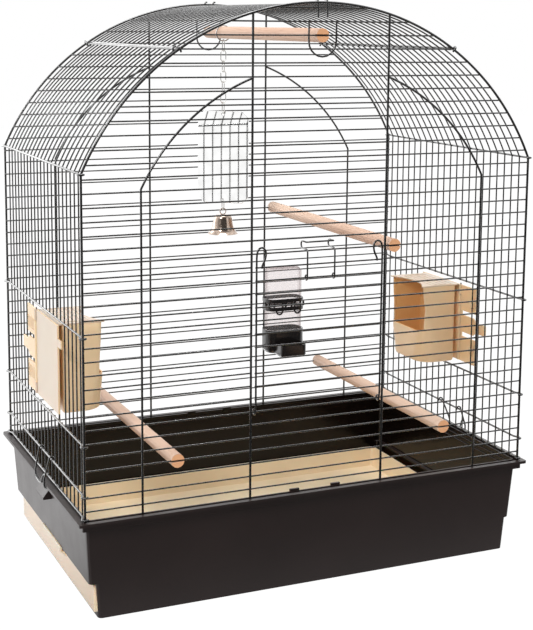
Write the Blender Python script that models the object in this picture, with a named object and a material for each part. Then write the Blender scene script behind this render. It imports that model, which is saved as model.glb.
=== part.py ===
"""Arched wire bird cage on a moulded base with a slide-out tray.

Metres, +Z up. The origin is the middle of the footprint on the floor. +X is to the right along
the front, and the front panel faces -Y.
"""

import math

import bmesh
import bpy
from mathutils import Matrix, Vector

# Panels, between the axes of the corner posts, and heights above the rim
PANEL_LENGTH = 0.674
PANEL_DEPTH = 0.424
WALL_HEIGHT = 0.4588
ARCH_RISE = 0.2196
SIDE_INSET = 0.002
SIDE_GAPS = 22
ROW_PITCH = 0.0183
FIRST_ROW = 0.0125
TOP_ROW_MARGIN = 0.006
CENTRE_STAY_X = 0.1018
SIDE_STAY_X = 0.2575
INNER_ARC_RADIUS = 0.287
FOOT_BAR_HEIGHT = 0.003
LOW_BAR_HEIGHT = 0.0337
MIDDLE_BAR_HEIGHT = 0.1018
HIGH_BAR_HEIGHT = 0.2467
LID_HALF_LENGTH = 0.205

# Wire radii, and how far crossing wires sink into each other at a weld
FRAME_WIRE = 0.0018
CENTRE_STAY_WIRE = 0.0017
SIDE_STAY_WIRE = 0.0016
BAR_WIRE = 0.0015
DOOR_WIRE = 0.0014
BENT_WIRE = 0.0013
LATCH_WIRE = 0.0012
ROW_WIRE = 0.0011
WELD = 0.0008
OVERRUN = 0.0011
CLEARANCE = 0.0003
HOOK_CLEARANCE = 0.0007
EYE_CLEARANCE = 0.001
HOOK_RUN = 0.012
ROOF_HOOK_RUN = 0.0065
HOOK_WRAP = math.radians(150)

# Front door, counted in the rows of the front panel
HINGE_ROW = 6
DOOR_ROWS = (7, 17)
CATCH_ROW = 18
DOOR_SIDE_GAP = 0.0048
DOOR_STANDOFF = 0.0035
DOOR_EYE_JOG = 0.008
EYE_WRAP = math.radians(260)
DOOR_LOOP_HEIGHT = 0.028
DOOR_LOOP_WIDTH = 0.014
DOOR_LOOP_SHARES = ((0, 0.68), (0.2, 0.93), (0.57, 1), (0.9, 0.88), (1, 0.68), (0.9, 0.4), (0.57, 0.1))
LATCH_HALF_WIDTH = 0.0208
LATCH_PIVOT_ROW = 16
LATCH_REACH = 0.014
LATCH_CURL = 0.0098

# Wire loops under the crown of the front and back panels
CROWN_LOOP_X = 0.0205
CROWN_LOOP_ROWS_DOWN = 2
CROWN_LOOP_DROP = 0.048
CROWN_STAY_X = 0.007
CROWN_STAY_LENGTH = 0.020

# Moulded base and its rim
BASE_HEIGHT = 0.142
RIM_MARGIN = 0.0105
RIM_CORNER = 0.003
INNER_CORNER = 0.006
GROOVE_CORNER = 0.0035
RIM_EDGE = 0.004
RIM_STEP = 0.006
RIM_STEP_DROP = 0.0125
RIM_WIDTH = 0.0155
GROOVE_WIDTH = 0.0055
GROOVE_DEPTH = 0.004
LEDGE_STEP = 0.002
LEDGE_DROP = 0.0065
WALL_INSET = 0.0125
WALL_DRAFT = 0.005
WALL_THICKNESS = 0.003
SKIRT_HEIGHT = 0.0495
SKIRT_INSET = 0.0275
RIGHT_SKIRT_INSET = 0.0225
SKIRT_DRAFT = 0.003
SKIRT_LEDGE = 0.001
FLOOR_TOP = 0.008
FLOOR_THICKNESS = 0.003
FOOT_WIDTH = 0.006
TAB_X = 0.032
TAB_LENGTH = 0.014
TAB_RISE = 0.003
LUG_Y = -0.0045
LUG_WIDTH = 0.043
LUG_TOP = 0.015
LUG_DROP = 0.016
LUG_REACH = 0.011

# Slide-out tray
TRAY_GAP = 0.001
TRAY_HEIGHT = 0.036
TRAY_WALL = 0.0025
TRAY_CORNER = 0.008
TRAY_FRONT_PROUD = 0.002
TRAY_BACK_GAP = 0.003
PULL_Y = -0.012
PULL_WIDTH = 0.100
PULL_RISE = 0.003
PULL_REACH = 0.0095
PULL_DROP = 0.012

# Perches: the row that holds each and its place along X
PERCH_RADIUS = 0.0095
PERCH_PROUD = 0.0033
TOP_PERCH_ROWS_DOWN = 3
MIDDLE_PERCH_ROW = 18
LOW_PERCH_ROW = 3
MIDDLE_PERCH_X = 0.117
LOW_RIGHT_PERCH_X = 0.205
LOW_LEFT_PERCH_X = -0.208

# Swing-out feeders, written for the left side and turned half round for the right one
FEEDER_FIRST_WIRE = 5
FEEDER_WIRES = 9
FEEDER_RIGHT_SHIFT = 2
FEEDER_RIGHT_DROP = 0.005
FEEDER_AXIS_GAP = 0.0458
FEEDER_LENGTH = 0.110
FEEDER_DEPTH = 0.059
FEEDER_BOTTOM = 0.118
FEEDER_BODY_HEIGHT = 0.122
FEEDER_PLATE_HEIGHT = 0.127
FEEDER_PLATE = 0.0025
FEEDER_WALL = 0.002
FEEDER_STANDOFF = 0.002
FEEDER_CHAMFER = 0.030
FEEDER_BOTTOM_SLOPE = 0.007
FEEDER_LIP = 0.040
FEEDER_HEAD = 0.008
FEEDER_MOUTH_MARGIN = 0.004
FEEDER_MOUTH_CORNER = 0.018
FEEDER_SEAM = 0.004
FLANGE_LENGTH = 0.044
FLANGE_RIBS = 6
RIB_WIDTH = 0.0022
RIB_RISE = 0.0012
TONGUE_LENGTH = 0.030
TONGUE_HEIGHT = 0.030
TONGUE_NOTCH = 0.008
HANDLE_LENGTH = 0.021
HANDLE_HEIGHT = 0.012
BARREL_RADIUS = 0.0032
PIN_RADIUS = 0.0012
BARREL_LENGTH = 0.016
CLIP_THICKNESS = 0.0022
CLIP_HEIGHT = 0.010
COVER_THICKNESS = 0.002
COVER_DROP = 0.0035
COVER_RIBS = 9

# Drinker on the back panel
DRINKER_X = 0.1235
DRINKER_BACK_GAP = 0.030
TANK_WIDTH = 0.062
TANK_DEPTH = 0.034
TANK_CORNER = 0.012
TANK_BOTTOM = 0.130
TANK_HEIGHT = 0.113
TANK_WALL = 0.002
COLLAR_WALL = 0.0035
COLLAR_BOTTOM = 0.166
COLLAR_HEIGHT = 0.026
COLLAR_ROW = 9
WINDOW_WIDTH = 0.018
WINDOW_HEIGHT = 0.010
ARM_WIDTH = 0.006
ARM_HEIGHT = 0.009
ARM_SPREAD = 0.015
BASIN_ROW = 6
BASIN_WALL = 0.003
BASIN_BOTTOM = 0.100
BASIN_TOP = 0.139
TROUGH_LENGTH = 0.030
TROUGH_RIM = 0.119
TROUGH_LIP_SHARE = 0.35

# Toy that hangs from the top perch
TOY_BACK_GAP = 0.065
TOY_WIRE = 0.0008
TOY_HOOK_WIRE = 0.001
LINKS = 7
LINK_LENGTH = 0.0167
CONNECTOR_LENGTH = 0.0125
LINK_WIDTH = 0.0085
MIRROR_WIDTH = 0.085
MIRROR_HEIGHT = 0.1475
MIRROR_THICKNESS = 0.003
MIRROR_CHAMFER = 0.010
MIRROR_HOLE = 0.0022
BELL_RADIUS = 0.023
BELL_CROWN = 0.0105
BELL_HEIGHT = 0.031
BELL_WALL = 0.0012
BELL_RING = 0.005
BELL_PROFILE_SHARES = ((1, 0), (0.82, 0.08), (0.66, 0.22), (0.58, 0.45), (0.52, 0.75), (0.46, 0.93), (0.28, 1))
CLAPPER_RADIUS = 0.0035
CLAPPER_PROUD = 0.004

# Base clips, one bent wire on each side
CLIP_LEG_Y = (0.014, -0.043)
CLIP_FOOT_Y = (0.005, -0.045)
CLIP_FOOT_RISE = 0.005
CLIP_LOOP_Y = (0.001, -0.027, -0.032, -0.037)
CLIP_LOOP_Z = (-0.005, -0.005, 0.003, 0.012)
CLIP_HOOK_DROP = 0.0061
CLIP_HOOK_LENGTH = 0.013
CLIP_HOOK_TUCK = 0.004

# How finely round shapes are stepped
ARCH_STEPS = 18
INNER_ARC_STEPS = 6
SHOULDER_STEPS = 4
LID_STEPS = 6
HOOK_STEPS = 3
EYE_STEPS = 4
CORNER_STEPS = 3
ROUND_SIDES = 14
MERGE = 0.00001
CUT_OVERRUN = 0.002

X = Vector((1, 0, 0))
Y = Vector((0, 1, 0))
Z = Vector((0, 0, 1))

# Places that follow from the sizes above
HALF_X = PANEL_LENGTH / 2
HALF_Y = PANEL_DEPTH / 2
RIM_Z = BASE_HEIGHT
SPRING_Z = RIM_Z + WALL_HEIGHT
ARCH_RADIUS = (HALF_X**2 + ARCH_RISE**2) / (2 * ARCH_RISE)
ARCH_CENTRE_Z = SPRING_Z + ARCH_RISE - ARCH_RADIUS
ROOF_RADIUS = ARCH_RADIUS - SIDE_INSET
SIDE_X = HALF_X - SIDE_INSET
SIDE_PITCH = PANEL_DEPTH / SIDE_GAPS
ROW_Y = HALF_Y - FRAME_WIRE - ROW_WIRE + WELD
ROW_COUNT = int((WALL_HEIGHT + ARCH_RISE - TOP_ROW_MARGIN - FIRST_ROW) / ROW_PITCH) + 1
BAR_OUT = ROW_WIRE + BAR_WIRE - WELD
BAR_X = SIDE_X + BAR_OUT
BAR_ZS = (
    RIM_Z + FOOT_BAR_HEIGHT,
    RIM_Z + LOW_BAR_HEIGHT,
    RIM_Z + MIDDLE_BAR_HEIGHT,
    RIM_Z + HIGH_BAR_HEIGHT,
    SPRING_Z,
)
LID_ANGLE = math.asin(LID_HALF_LENGTH / ARCH_RADIUS)
LID_ROD_ANGLE = LID_ANGLE - (2 * BAR_WIRE + CLEARANCE) / ROOF_RADIUS
RIM_X = HALF_X + RIM_MARGIN
RIM_Y = HALF_Y + RIM_MARGIN
DOOR_X = CENTRE_STAY_X - DOOR_SIDE_GAP
DOOR_SIDE_Y = HALF_Y + DOOR_STANDOFF
DOOR_ROW_Y = DOOR_SIDE_Y - DOOR_WIRE - ROW_WIRE + WELD


def start_scene():
    """Empties the scene and returns the collections for the parts and for the helper shapes."""
    for old in list(bpy.data.objects):
        bpy.data.objects.remove(old)
    made = []
    for name in ("bird_cage", "helpers"):
        group = bpy.data.collections.new(name)
        bpy.context.scene.collection.children.link(group)
        made.append(group)
    return made


PARTS, HELPERS = start_scene()


def material(name, colour, roughness, metallic=0.0, transmission=0.0):
    made = bpy.data.materials.new(name)
    made.use_nodes = True
    shader = made.node_tree.nodes["Principled BSDF"]
    shader.inputs["Base Color"].default_value = (*colour, 1)
    shader.inputs["Roughness"].default_value = roughness
    shader.inputs["Metallic"].default_value = metallic
    shader.inputs["Transmission Weight"].default_value = transmission
    made.diffuse_color = (*colour, 1)
    return made


WIRE_ENAMEL = material("wire_enamel", (0.012, 0.011, 0.011), 0.35)
BASE_PLASTIC = material("base_plastic", (0.034, 0.026, 0.023), 0.45)
CREAM_PLASTIC = material("cream_plastic", (0.78, 0.58, 0.33), 0.4)
BLACK_PLASTIC = material("black_plastic", (0.015, 0.014, 0.014), 0.3)
CLEAR_PLASTIC = material("clear_plastic", (0.9, 0.92, 0.92), 0.08, 0.0, 0.9)
WOOD = material("wood", (0.80, 0.52, 0.36), 0.6)
STEEL = material("steel", (0.6, 0.6, 0.6), 0.25, 1.0)
BRONZE = material("bronze", (0.45, 0.33, 0.25), 0.25, 1.0)
MIRROR = material("mirror", (0.9, 0.9, 0.9), 0.03, 1.0)


def add_object(name, data, group=PARTS):
    made = bpy.data.objects.new(name, data)
    group.objects.link(made)
    return made


def finish(piece, look, smooth_angle=None):
    """Gives a piece its material, and shades round forms smooth."""
    piece.data.materials.clear()
    piece.data.materials.append(look)
    if smooth_angle is not None:
        piece.data.shade_smooth()
        piece.data.set_sharp_from_angle(angle=math.radians(smooth_angle))
    return piece


def evenly(start, stop, steps):
    return [start + (stop - start) * i / steps for i in range(steps + 1)]


def arc(centre, radius, start, stop, steps, across, up):
    """Points on a circle, from one angle to another, measured from across towards up."""
    return [
        centre + radius * (math.cos(a) * across + math.sin(a) * up)
        for a in evenly(start, stop, steps)
    ]


def solid_from(piece):
    """A mesh of a curve, with its caps welded, in place of the curve."""
    bpy.context.view_layer.update()
    graph = bpy.context.evaluated_depsgraph_get()
    mesh = bpy.data.meshes.new_from_object(piece.evaluated_get(graph))
    shape = bmesh.new()
    shape.from_mesh(mesh)
    bmesh.ops.remove_doubles(shape, verts=shape.verts, dist=MERGE)
    bmesh.ops.recalc_face_normals(shape, faces=shape.faces)
    shape.to_mesh(mesh)
    shape.free()
    name = piece.name
    place = piece.matrix_world.copy()
    bpy.data.objects.remove(piece)
    made = add_object(name, mesh)
    made.matrix_world = place
    return made


def wires(name, paths, radius, sides=4, closed=False):
    """One mesh that holds a round wire along each path."""
    line = bpy.data.curves.new(name, "CURVE")
    line.dimensions = "3D"
    line.twist_mode = "MINIMUM"
    line.bevel_depth = radius
    line.bevel_resolution = (sides - 4) // 2
    line.use_fill_caps = True
    for path in paths:
        spline = line.splines.new("POLY")
        spline.points.add(len(path) - 1)
        spline.use_cyclic_u = closed
        for point, place in zip(spline.points, path):
            point.co = (*place, 1)
    return solid_from(add_object(name, line))


def slab(name, outline, thickness, place):
    """A flat outline with thickness to both sides of its plane, moved by a matrix."""
    line = bpy.data.curves.new(name, "CURVE")
    line.dimensions = "2D"
    line.fill_mode = "BOTH"
    line.extrude = thickness / 2
    spline = line.splines.new("POLY")
    spline.points.add(len(outline) - 1)
    spline.use_cyclic_u = True
    for point, corner in zip(spline.points, outline):
        point.co = (*corner, 0, 1)
    made = solid_from(add_object(name, line))
    made.matrix_world = place
    return made


def facing(normal, across, centre):
    """A matrix that stands an outline up: its own x along across, its own z along normal."""
    up = normal.cross(across)
    turn = Matrix((across, up, normal)).transposed().to_4x4()
    return Matrix.Translation(centre) @ turn


def block(name, low, high):
    """A box between two corners."""
    shape = bmesh.new()
    size = [b - a for a, b in zip(low, high)]
    middle = Vector([(a + b) / 2 for a, b in zip(low, high)])
    bmesh.ops.create_cube(shape, size=1, matrix=Matrix.Translation(middle) @ Matrix.Diagonal((*size, 1)))
    mesh = bpy.data.meshes.new(name)
    shape.to_mesh(mesh)
    shape.free()
    return add_object(name, mesh)


def rod(name, centre, radius, length, axis, sides=ROUND_SIDES):
    """A cylinder centred on a point."""
    shape = bmesh.new()
    turn = Z.rotation_difference(axis).to_matrix().to_4x4()
    bmesh.ops.create_cone(
        shape,
        cap_ends=True,
        segments=sides,
        radius1=radius,
        radius2=radius,
        depth=length,
        matrix=Matrix.Translation(centre) @ turn,
    )
    mesh = bpy.data.meshes.new(name)
    shape.to_mesh(mesh)
    shape.free()
    return add_object(name, mesh)


def rounded_outline(half_x, half_y, radius, steps=CORNER_STEPS):
    """Corner points of a rectangle with rounded corners, anticlockwise."""
    points = []
    for quarter, (sx, sy) in enumerate(((1, 1), (-1, 1), (-1, -1), (1, -1))):
        centre = Vector((sx * (half_x - radius), sy * (half_y - radius)))
        start = quarter * math.pi / 2
        for a in evenly(start, start + math.pi / 2, steps):
            points.append(centre + radius * Vector((math.cos(a), math.sin(a))))
    return points


def loft(name, sections, middle=Vector((0, 0, 0))):
    """A closed skin through rounded rectangles: (half_x, half_y, radius, z, shift along X) for each."""
    shape = bmesh.new()
    rings = []
    for half_x, half_y, radius, z, *shift in sections:
        outline = rounded_outline(half_x, half_y, radius)
        centre = middle + Vector((sum(shift), 0, z))
        rings.append([shape.verts.new(centre + Vector((p.x, p.y, 0))) for p in outline])
    for lower, upper in zip(rings, rings[1:]):
        for i in range(len(lower)):
            after = (i + 1) % len(lower)
            shape.faces.new((lower[i], lower[after], upper[after], upper[i]))
    shape.faces.new(rings[0])
    shape.faces.new(rings[-1])
    bmesh.ops.recalc_face_normals(shape, faces=shape.faces)
    mesh = bpy.data.meshes.new(name)
    shape.to_mesh(mesh)
    shape.free()
    return add_object(name, mesh)


def hide(piece):
    """Turns a piece into a helper that isn't part of the model."""
    for group in list(piece.users_collection):
        group.objects.unlink(piece)
    HELPERS.objects.link(piece)
    piece.hide_render = True
    piece.display_type = "WIRE"
    return piece


def combine(piece, operation, helpers):
    for helper in helpers:
        step = piece.modifiers.new(helper.name, "BOOLEAN")
        step.operation = operation
        step.solver = "EXACT"
        step.object = hide(helper)
    return piece


def join(piece, *helpers):
    return combine(piece, "UNION", helpers)


def cut(piece, *helpers):
    return combine(piece, "DIFFERENCE", helpers)


def carry(name, centre, pieces, parent=None):
    """An empty on a joint's axis that carries the pieces that move with it."""
    pivot = add_object(name, None)
    pivot.empty_display_size = HOOK_RUN
    pivot.location = centre
    if parent:
        pivot.parent = parent
        pivot.location = centre - parent.matrix_world.translation
    bpy.context.view_layer.update()
    for piece in pieces:
        piece.parent = pivot
        piece.matrix_parent_inverse = pivot.matrix_world.inverted()
    return pivot


def row_z(row):
    return RIM_Z + FIRST_ROW + row * ROW_PITCH


def side_wire_y(wire):
    return wire * SIDE_PITCH - HALF_Y


def reach_at(z):
    """Half the length of the arched panel at a height."""
    if z <= SPRING_Z:
        return HALF_X
    return math.sqrt(ARCH_RADIUS**2 - (z - ARCH_CENTRE_Z) ** 2)


def on_roof(radius, angle, y):
    """A point over the arch's centre, by its angle from the top towards +X."""
    return Vector((radius * math.sin(angle), y, ARCH_CENTRE_Z + radius * math.cos(angle)))


def outer_frame(y):
    """Post, arch and post, bent from one wire."""
    foot = RIM_Z - GROOVE_DEPTH + CLEARANCE
    half = math.atan2(HALF_X, SPRING_Z - ARCH_CENTRE_Z)
    crown = [on_roof(ARCH_RADIUS, a, y) for a in evenly(-half, half, ARCH_STEPS)]
    return [Vector((-HALF_X, y, foot)), *crown, Vector((HALF_X, y, foot))]


def side_stay(side, y):
    """Upright that bends over into the inner arc and ends at the centre stay."""
    foot = Vector((side * SIDE_STAY_X, y, RIM_Z - GROOVE_DEPTH + CLEARANCE))
    start = side * math.asin(SIDE_STAY_X / INNER_ARC_RADIUS)
    stop = side * math.asin((CENTRE_STAY_X - WELD) / INNER_ARC_RADIUS)
    bend = [on_roof(INNER_ARC_RADIUS, a, y) for a in evenly(start, stop, INNER_ARC_STEPS)]
    return [foot, *bend]


def centre_stay(side, y):
    x = side * CENTRE_STAY_X
    foot = Vector((x, y, RIM_Z - GROOVE_DEPTH + CLEARANCE))
    return [foot, Vector((x, y, ARCH_CENTRE_Z + math.sqrt(ARCH_RADIUS**2 - x**2)))]


def crown_loop(y):
    """U-shaped wire that hangs below the crown."""
    top = row_z(ROW_COUNT - CROWN_LOOP_ROWS_DOWN) + OVERRUN
    bend = Vector((0, y, top - CROWN_LOOP_DROP + CROWN_LOOP_X))
    turn = arc(bend, CROWN_LOOP_X, math.pi, 2 * math.pi, 2 * EYE_STEPS, X, Z)
    return [Vector((-CROWN_LOOP_X, y, top)), *turn, Vector((CROWN_LOOP_X, y, top))]


def crown_stays(y):
    top = ARCH_CENTRE_Z + math.sqrt(ARCH_RADIUS**2 - CROWN_STAY_X**2)
    return [
        [Vector((x, y, top - CROWN_STAY_LENGTH)), Vector((x, y, top + WELD))]
        for x in (-CROWN_STAY_X, CROWN_STAY_X)
    ]


def panel_rows(y, doorway):
    """Horizontal wires, parted between the centre stays where the doorway is."""
    paths = []
    for row in range(ROW_COUNT):
        z = row_z(row)
        end = reach_at(z) + OVERRUN
        if doorway and DOOR_ROWS[0] <= row <= DOOR_ROWS[1]:
            inner = CENTRE_STAY_X - OVERRUN
            paths.append([Vector((-end, y, z)), Vector((-inner, y, z))])
            paths.append([Vector((inner, y, z)), Vector((end, y, z))])
        else:
            paths.append([Vector((-end, y, z)), Vector((end, y, z))])
    return paths


def wall_panel(name, side, doorway=False):
    """Front or back grille: frame, stays and rows welded into one piece."""
    y = side * HALF_Y
    panel = wires(name, [outer_frame(y)], FRAME_WIRE)
    outer_stays = wires(name + "_outer_stays", [side_stay(s, y) for s in (-1, 1)], SIDE_STAY_WIRE)
    inner_stays = wires(name + "_inner_stays", [centre_stay(s, y) for s in (-1, 1)], CENTRE_STAY_WIRE)
    crown = wires(name + "_crown", [*crown_stays(y), crown_loop(y)], BENT_WIRE)
    rows = wires(name + "_rows", panel_rows(side * ROW_Y, doorway), ROW_WIRE)
    join(panel, inner_stays, outer_stays, crown, rows)
    return finish(panel, WIRE_ENAMEL)


def hooked_bar(post, outward, offset, hook_run=HOOK_RUN):
    """Bar along Y beside a post or arch at both ends, where it hooks round the outside."""
    radius = FRAME_WIRE + HOOK_CLEARANCE + BAR_WIRE
    halves = []
    for side in (-1, 1):
        end = Vector((post.x, side * HALF_Y, post.z))
        run = end + offset * outward - side * hook_run * Y
        wrap = arc(end, radius, 0, HOOK_WRAP, HOOK_STEPS, outward, side * Y)
        halves.append([run, *wrap])
    return [*reversed(halves[0]), *halves[1]]


def shoulder_wire(side, wire):
    """Points of one side wire from its foot up and over to the roof bar."""
    y = side_wire_y(wire)
    spring = math.asin(SIDE_X / ROOF_RADIUS)
    stop = LID_ANGLE - OVERRUN / ROOF_RADIUS
    bend = [on_roof(ROOF_RADIUS, side * a, y) for a in evenly(spring, stop, SHOULDER_STEPS)]
    return [Vector((side * SIDE_X, y, RIM_Z + FOOT_BAR_HEIGHT - OVERRUN)), *bend]


def side_panel(name, side, first_cut):
    """Side grille with its shoulder of the roof, and an opening for the feeder."""
    paths = []
    for wire in range(1, SIDE_GAPS):
        path = shoulder_wire(side, wire)
        if first_cut < wire < first_cut + FEEDER_WIRES:
            x, y = path[0].x, path[0].y
            paths.append([path[0], Vector((x, y, RIM_Z + MIDDLE_BAR_HEIGHT + OVERRUN))])
            path[0] = Vector((x, y, RIM_Z + HIGH_BAR_HEIGHT - OVERRUN))
        paths.append(path)
    bars = [
        hooked_bar(Vector((side * HALF_X, 0, z)), side * X, BAR_OUT - SIDE_INSET)
        for z in BAR_ZS
    ]
    out = on_roof(1, side * LID_ANGLE, 0) - Vector((0, 0, ARCH_CENTRE_Z))
    roof_post = on_roof(ARCH_RADIUS, side * LID_ANGLE, 0)
    bars.append(hooked_bar(roof_post, out, BAR_OUT - SIDE_INSET, ROOF_HOOK_RUN))
    panel = wires(name, paths, ROW_WIRE)
    join(panel, wires(name + "_bars", bars, BAR_WIRE))
    return finish(panel, WIRE_ENAMEL)


def lid_frame(side, angle):
    """Centre of a roof bar, its outward direction and the direction down the roof."""
    centre = on_roof(ROOF_RADIUS + BAR_OUT, side * angle, 0)
    out = (centre - Vector((0, 0, ARCH_CENTRE_Z))).normalized()
    down = side * Y.cross(out)
    return centre, out, down


def roof_lid():
    """Middle of the roof, hinged on the left roof bar."""
    lid_ys = [side_wire_y(wire) + SIDE_PITCH / 2 for wire in range(SIDE_GAPS)]
    stop = LID_ROD_ANGLE + WELD / ROOF_RADIUS
    ribs = [
        [on_roof(ROOF_RADIUS, a, y) for a in evenly(-stop, stop, LID_STEPS)] for y in lid_ys
    ]
    end_y = lid_ys[-1] + OVERRUN
    rods = []
    for side in (-1, 1):
        centre = lid_frame(side, LID_ROD_ANGLE)[0]
        rods.append([centre - end_y * Y, centre + end_y * Y])
    lid = wires("roof_lid", ribs, ROW_WIRE)
    ring_radius = BAR_WIRE + HOOK_CLEARANCE + BENT_WIRE
    eyes = []
    catches = []
    for y in (lid_ys[0] + SIDE_PITCH / 4, lid_ys[-1] - SIDE_PITCH / 4):
        centre, out, down = lid_frame(-1, LID_ANGLE)
        ring = arc(centre + y * Y, ring_radius, 0, 2 * math.pi, 2 * EYE_STEPS, out, down)
        eyes.append(ring[:-1])
        centre, out, down = lid_frame(1, LID_ANGLE)
        catches.append(
            arc(centre + y * Y, ring_radius, math.radians(50), math.pi, EYE_STEPS, down, out)
        )
    join(
        lid,
        wires("roof_lid_rods", rods, BAR_WIRE),
        wires("roof_lid_eyes", eyes, BENT_WIRE, closed=True),
        wires("roof_lid_catches", catches, BENT_WIRE),
    )
    finish(lid, WIRE_ENAMEL)
    carry("roof_lid_hinge", lid_frame(-1, LID_ANGLE)[0], [lid])
    return lid


def eye_round(centre, radius, wrap):
    """Points of an open eye in the YZ plane, from its front under the row and up behind it."""
    return arc(centre, radius, 0, wrap, EYE_STEPS, -Y, -Z)


def front_door():
    """Door leaf with its hinge eyes and spring loops, and the wire latch that pivots on it."""
    hinge = Vector((0, -ROW_Y, row_z(HINGE_ROW)))
    rail_z = row_z(DOOR_ROWS[1])
    eye_radius = ROW_WIRE + EYE_CLEARANCE + DOOR_WIRE
    stiles = []
    for side in (-1, 1):
        x = side * DOOR_X
        loop = [
            Vector((side * (DOOR_X - across * DOOR_LOOP_WIDTH), -DOOR_SIDE_Y, rail_z + up * DOOR_LOOP_HEIGHT))
            for across, up in DOOR_LOOP_SHARES
        ]
        tail = loop[-1] - (OVERRUN + DOOR_LOOP_SHARES[-1][1] * DOOR_LOOP_HEIGHT) * Z
        jog = Vector((x, -DOOR_SIDE_Y, hinge.z + DOOR_EYE_JOG))
        eye = eye_round(Vector((x, hinge.y, hinge.z)), eye_radius, EYE_WRAP)
        stiles.append([tail, *reversed(loop), jog, *eye])
    end = DOOR_X + OVERRUN
    rows = [
        [Vector((-end, -DOOR_ROW_Y, row_z(row))), Vector((end, -DOOR_ROW_Y, row_z(row)))]
        for row in range(DOOR_ROWS[0], DOOR_ROWS[1] + 1)
    ]
    door = wires("front_door", stiles, DOOR_WIRE)
    join(door, wires("front_door_rows", rows, ROW_WIRE))
    finish(door, WIRE_ENAMEL)
    pivot = carry("front_door_hinge", hinge, [door])
    latch, latch_axis = door_latch()
    carry("door_latch_pivot", latch_axis, [latch], pivot)


def door_latch():
    """Bent wire that pivots on a door row and rests its curl over the row above the door."""
    axis = Vector((0, -DOOR_ROW_Y, row_z(LATCH_PIVOT_ROW)))
    eye_radius = ROW_WIRE + EYE_CLEARANCE + LATCH_WIRE
    arm_z = row_z(CATCH_ROW) + ROW_WIRE + CLEARANCE + LATCH_WIRE
    leg_y = axis.y - eye_radius
    bend = LATCH_CURL / 2
    halves = []
    for side in (-1, 1):
        x = side * LATCH_HALF_WIDTH
        eye = eye_round(Vector((x, axis.y, axis.z)), eye_radius, EYE_WRAP)
        lower = [Vector((x, leg_y, arm_z - bend)), Vector((x, leg_y + bend, arm_z))]
        curl = arc(
            Vector((x, LATCH_REACH - ROW_Y - bend, arm_z + bend)),
            bend, -math.pi / 2, math.pi / 2, EYE_STEPS, Y, Z,
        )
        grip = Vector((x, leg_y + bend, arm_z + LATCH_CURL))
        halves.append([*reversed(eye), *lower, *curl, grip])
    latch = wires("door_latch", [[*halves[0], *reversed(halves[1])]], LATCH_WIRE, sides=6)
    return finish(latch, WIRE_ENAMEL, 50), axis


def rim_section(inset, z, corner=None):
    """Outline of the base at one height, set in from the rim."""
    radius = corner or (INNER_CORNER if inset > RIM_STEP else RIM_CORNER)
    return (RIM_X - inset, RIM_Y - inset, radius, z)


def skirt_section(inward, z):
    """Outline of the skirt: flush with the wall at the front and back, stepped in at the sides."""
    half_x = RIM_X - inward - (SKIRT_INSET + RIGHT_SKIRT_INSET) / 2
    half_y = RIM_Y - inward - WALL_INSET - WALL_DRAFT
    return (half_x, half_y, INNER_CORNER, z, (SKIRT_INSET - RIGHT_SKIRT_INSET) / 2)


def base_tub():
    """Moulded base: open rim with a groove for the panels, drafted walls, skirt and floor."""
    wall_foot = WALL_INSET + WALL_DRAFT
    skirt_foot = SKIRT_INSET + SKIRT_DRAFT
    groove_out = RIM_MARGIN - GROOVE_WIDTH / 2
    groove_in = RIM_MARGIN + GROOVE_WIDTH / 2
    ledge = RIM_WIDTH + LEDGE_STEP
    inner_wall = ledge + LEDGE_STEP
    tub = loft("base_tub", [
        skirt_section(SKIRT_DRAFT + FOOT_WIDTH, FLOOR_TOP - FLOOR_THICKNESS),
        skirt_section(SKIRT_DRAFT + FOOT_WIDTH, 0),
        skirt_section(SKIRT_DRAFT, 0),
        skirt_section(0, SKIRT_HEIGHT),
        rim_section(wall_foot, SKIRT_HEIGHT + SKIRT_LEDGE),
        rim_section(WALL_INSET, RIM_Z - RIM_STEP_DROP),
        rim_section(RIM_STEP, RIM_Z - RIM_STEP_DROP),
        rim_section(RIM_STEP, RIM_Z - RIM_EDGE),
        rim_section(0, RIM_Z - RIM_EDGE),
        rim_section(0, RIM_Z),
        rim_section(groove_out, RIM_Z, GROOVE_CORNER),
        rim_section(groove_out, RIM_Z - GROOVE_DEPTH, GROOVE_CORNER),
        rim_section(groove_in, RIM_Z - GROOVE_DEPTH),
        rim_section(groove_in, RIM_Z),
        rim_section(RIM_WIDTH, RIM_Z),
        rim_section(RIM_WIDTH, RIM_Z - LEDGE_DROP),
        rim_section(ledge, RIM_Z - LEDGE_DROP),
        rim_section(ledge, RIM_Z - 2 * LEDGE_DROP),
        rim_section(inner_wall, RIM_Z - 2 * LEDGE_DROP),
        rim_section(wall_foot + WALL_THICKNESS, SKIRT_HEIGHT + SKIRT_LEDGE + WALL_THICKNESS),
        skirt_section(WALL_THICKNESS, SKIRT_HEIGHT + WALL_THICKNESS),
        skirt_section(SKIRT_DRAFT + WALL_THICKNESS, FLOOR_TOP),
    ])
    lugs = [clip_lug(side) for side in (-1, 1)]
    tabs = [rim_tab(x, side) for side in (-1, 1) for x in (-TAB_X, TAB_X)]
    join(tub, *lugs, *tabs)
    tray_half = RIM_Y - wall_foot - SKIRT_DRAFT - WALL_THICKNESS
    bay = block(
        "tray_bay",
        (-RIM_X, -tray_half, FLOOR_TOP + CLEARANCE),
        (-RIM_X + skirt_foot + 2 * WALL_THICKNESS, tray_half, SKIRT_HEIGHT - CLEARANCE),
    )
    notch = block(
        "pull_notch",
        (-RIM_X, PULL_Y - PULL_WIDTH / 2 - CLEARANCE, SKIRT_HEIGHT - WALL_THICKNESS),
        (-RIM_X + wall_foot + 2 * WALL_THICKNESS, PULL_Y + PULL_WIDTH / 2 + CLEARANCE, SKIRT_HEIGHT + PULL_RISE),
    )
    cut(tub, bay, notch)
    return finish(tub, BASE_PLASTIC)


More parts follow.
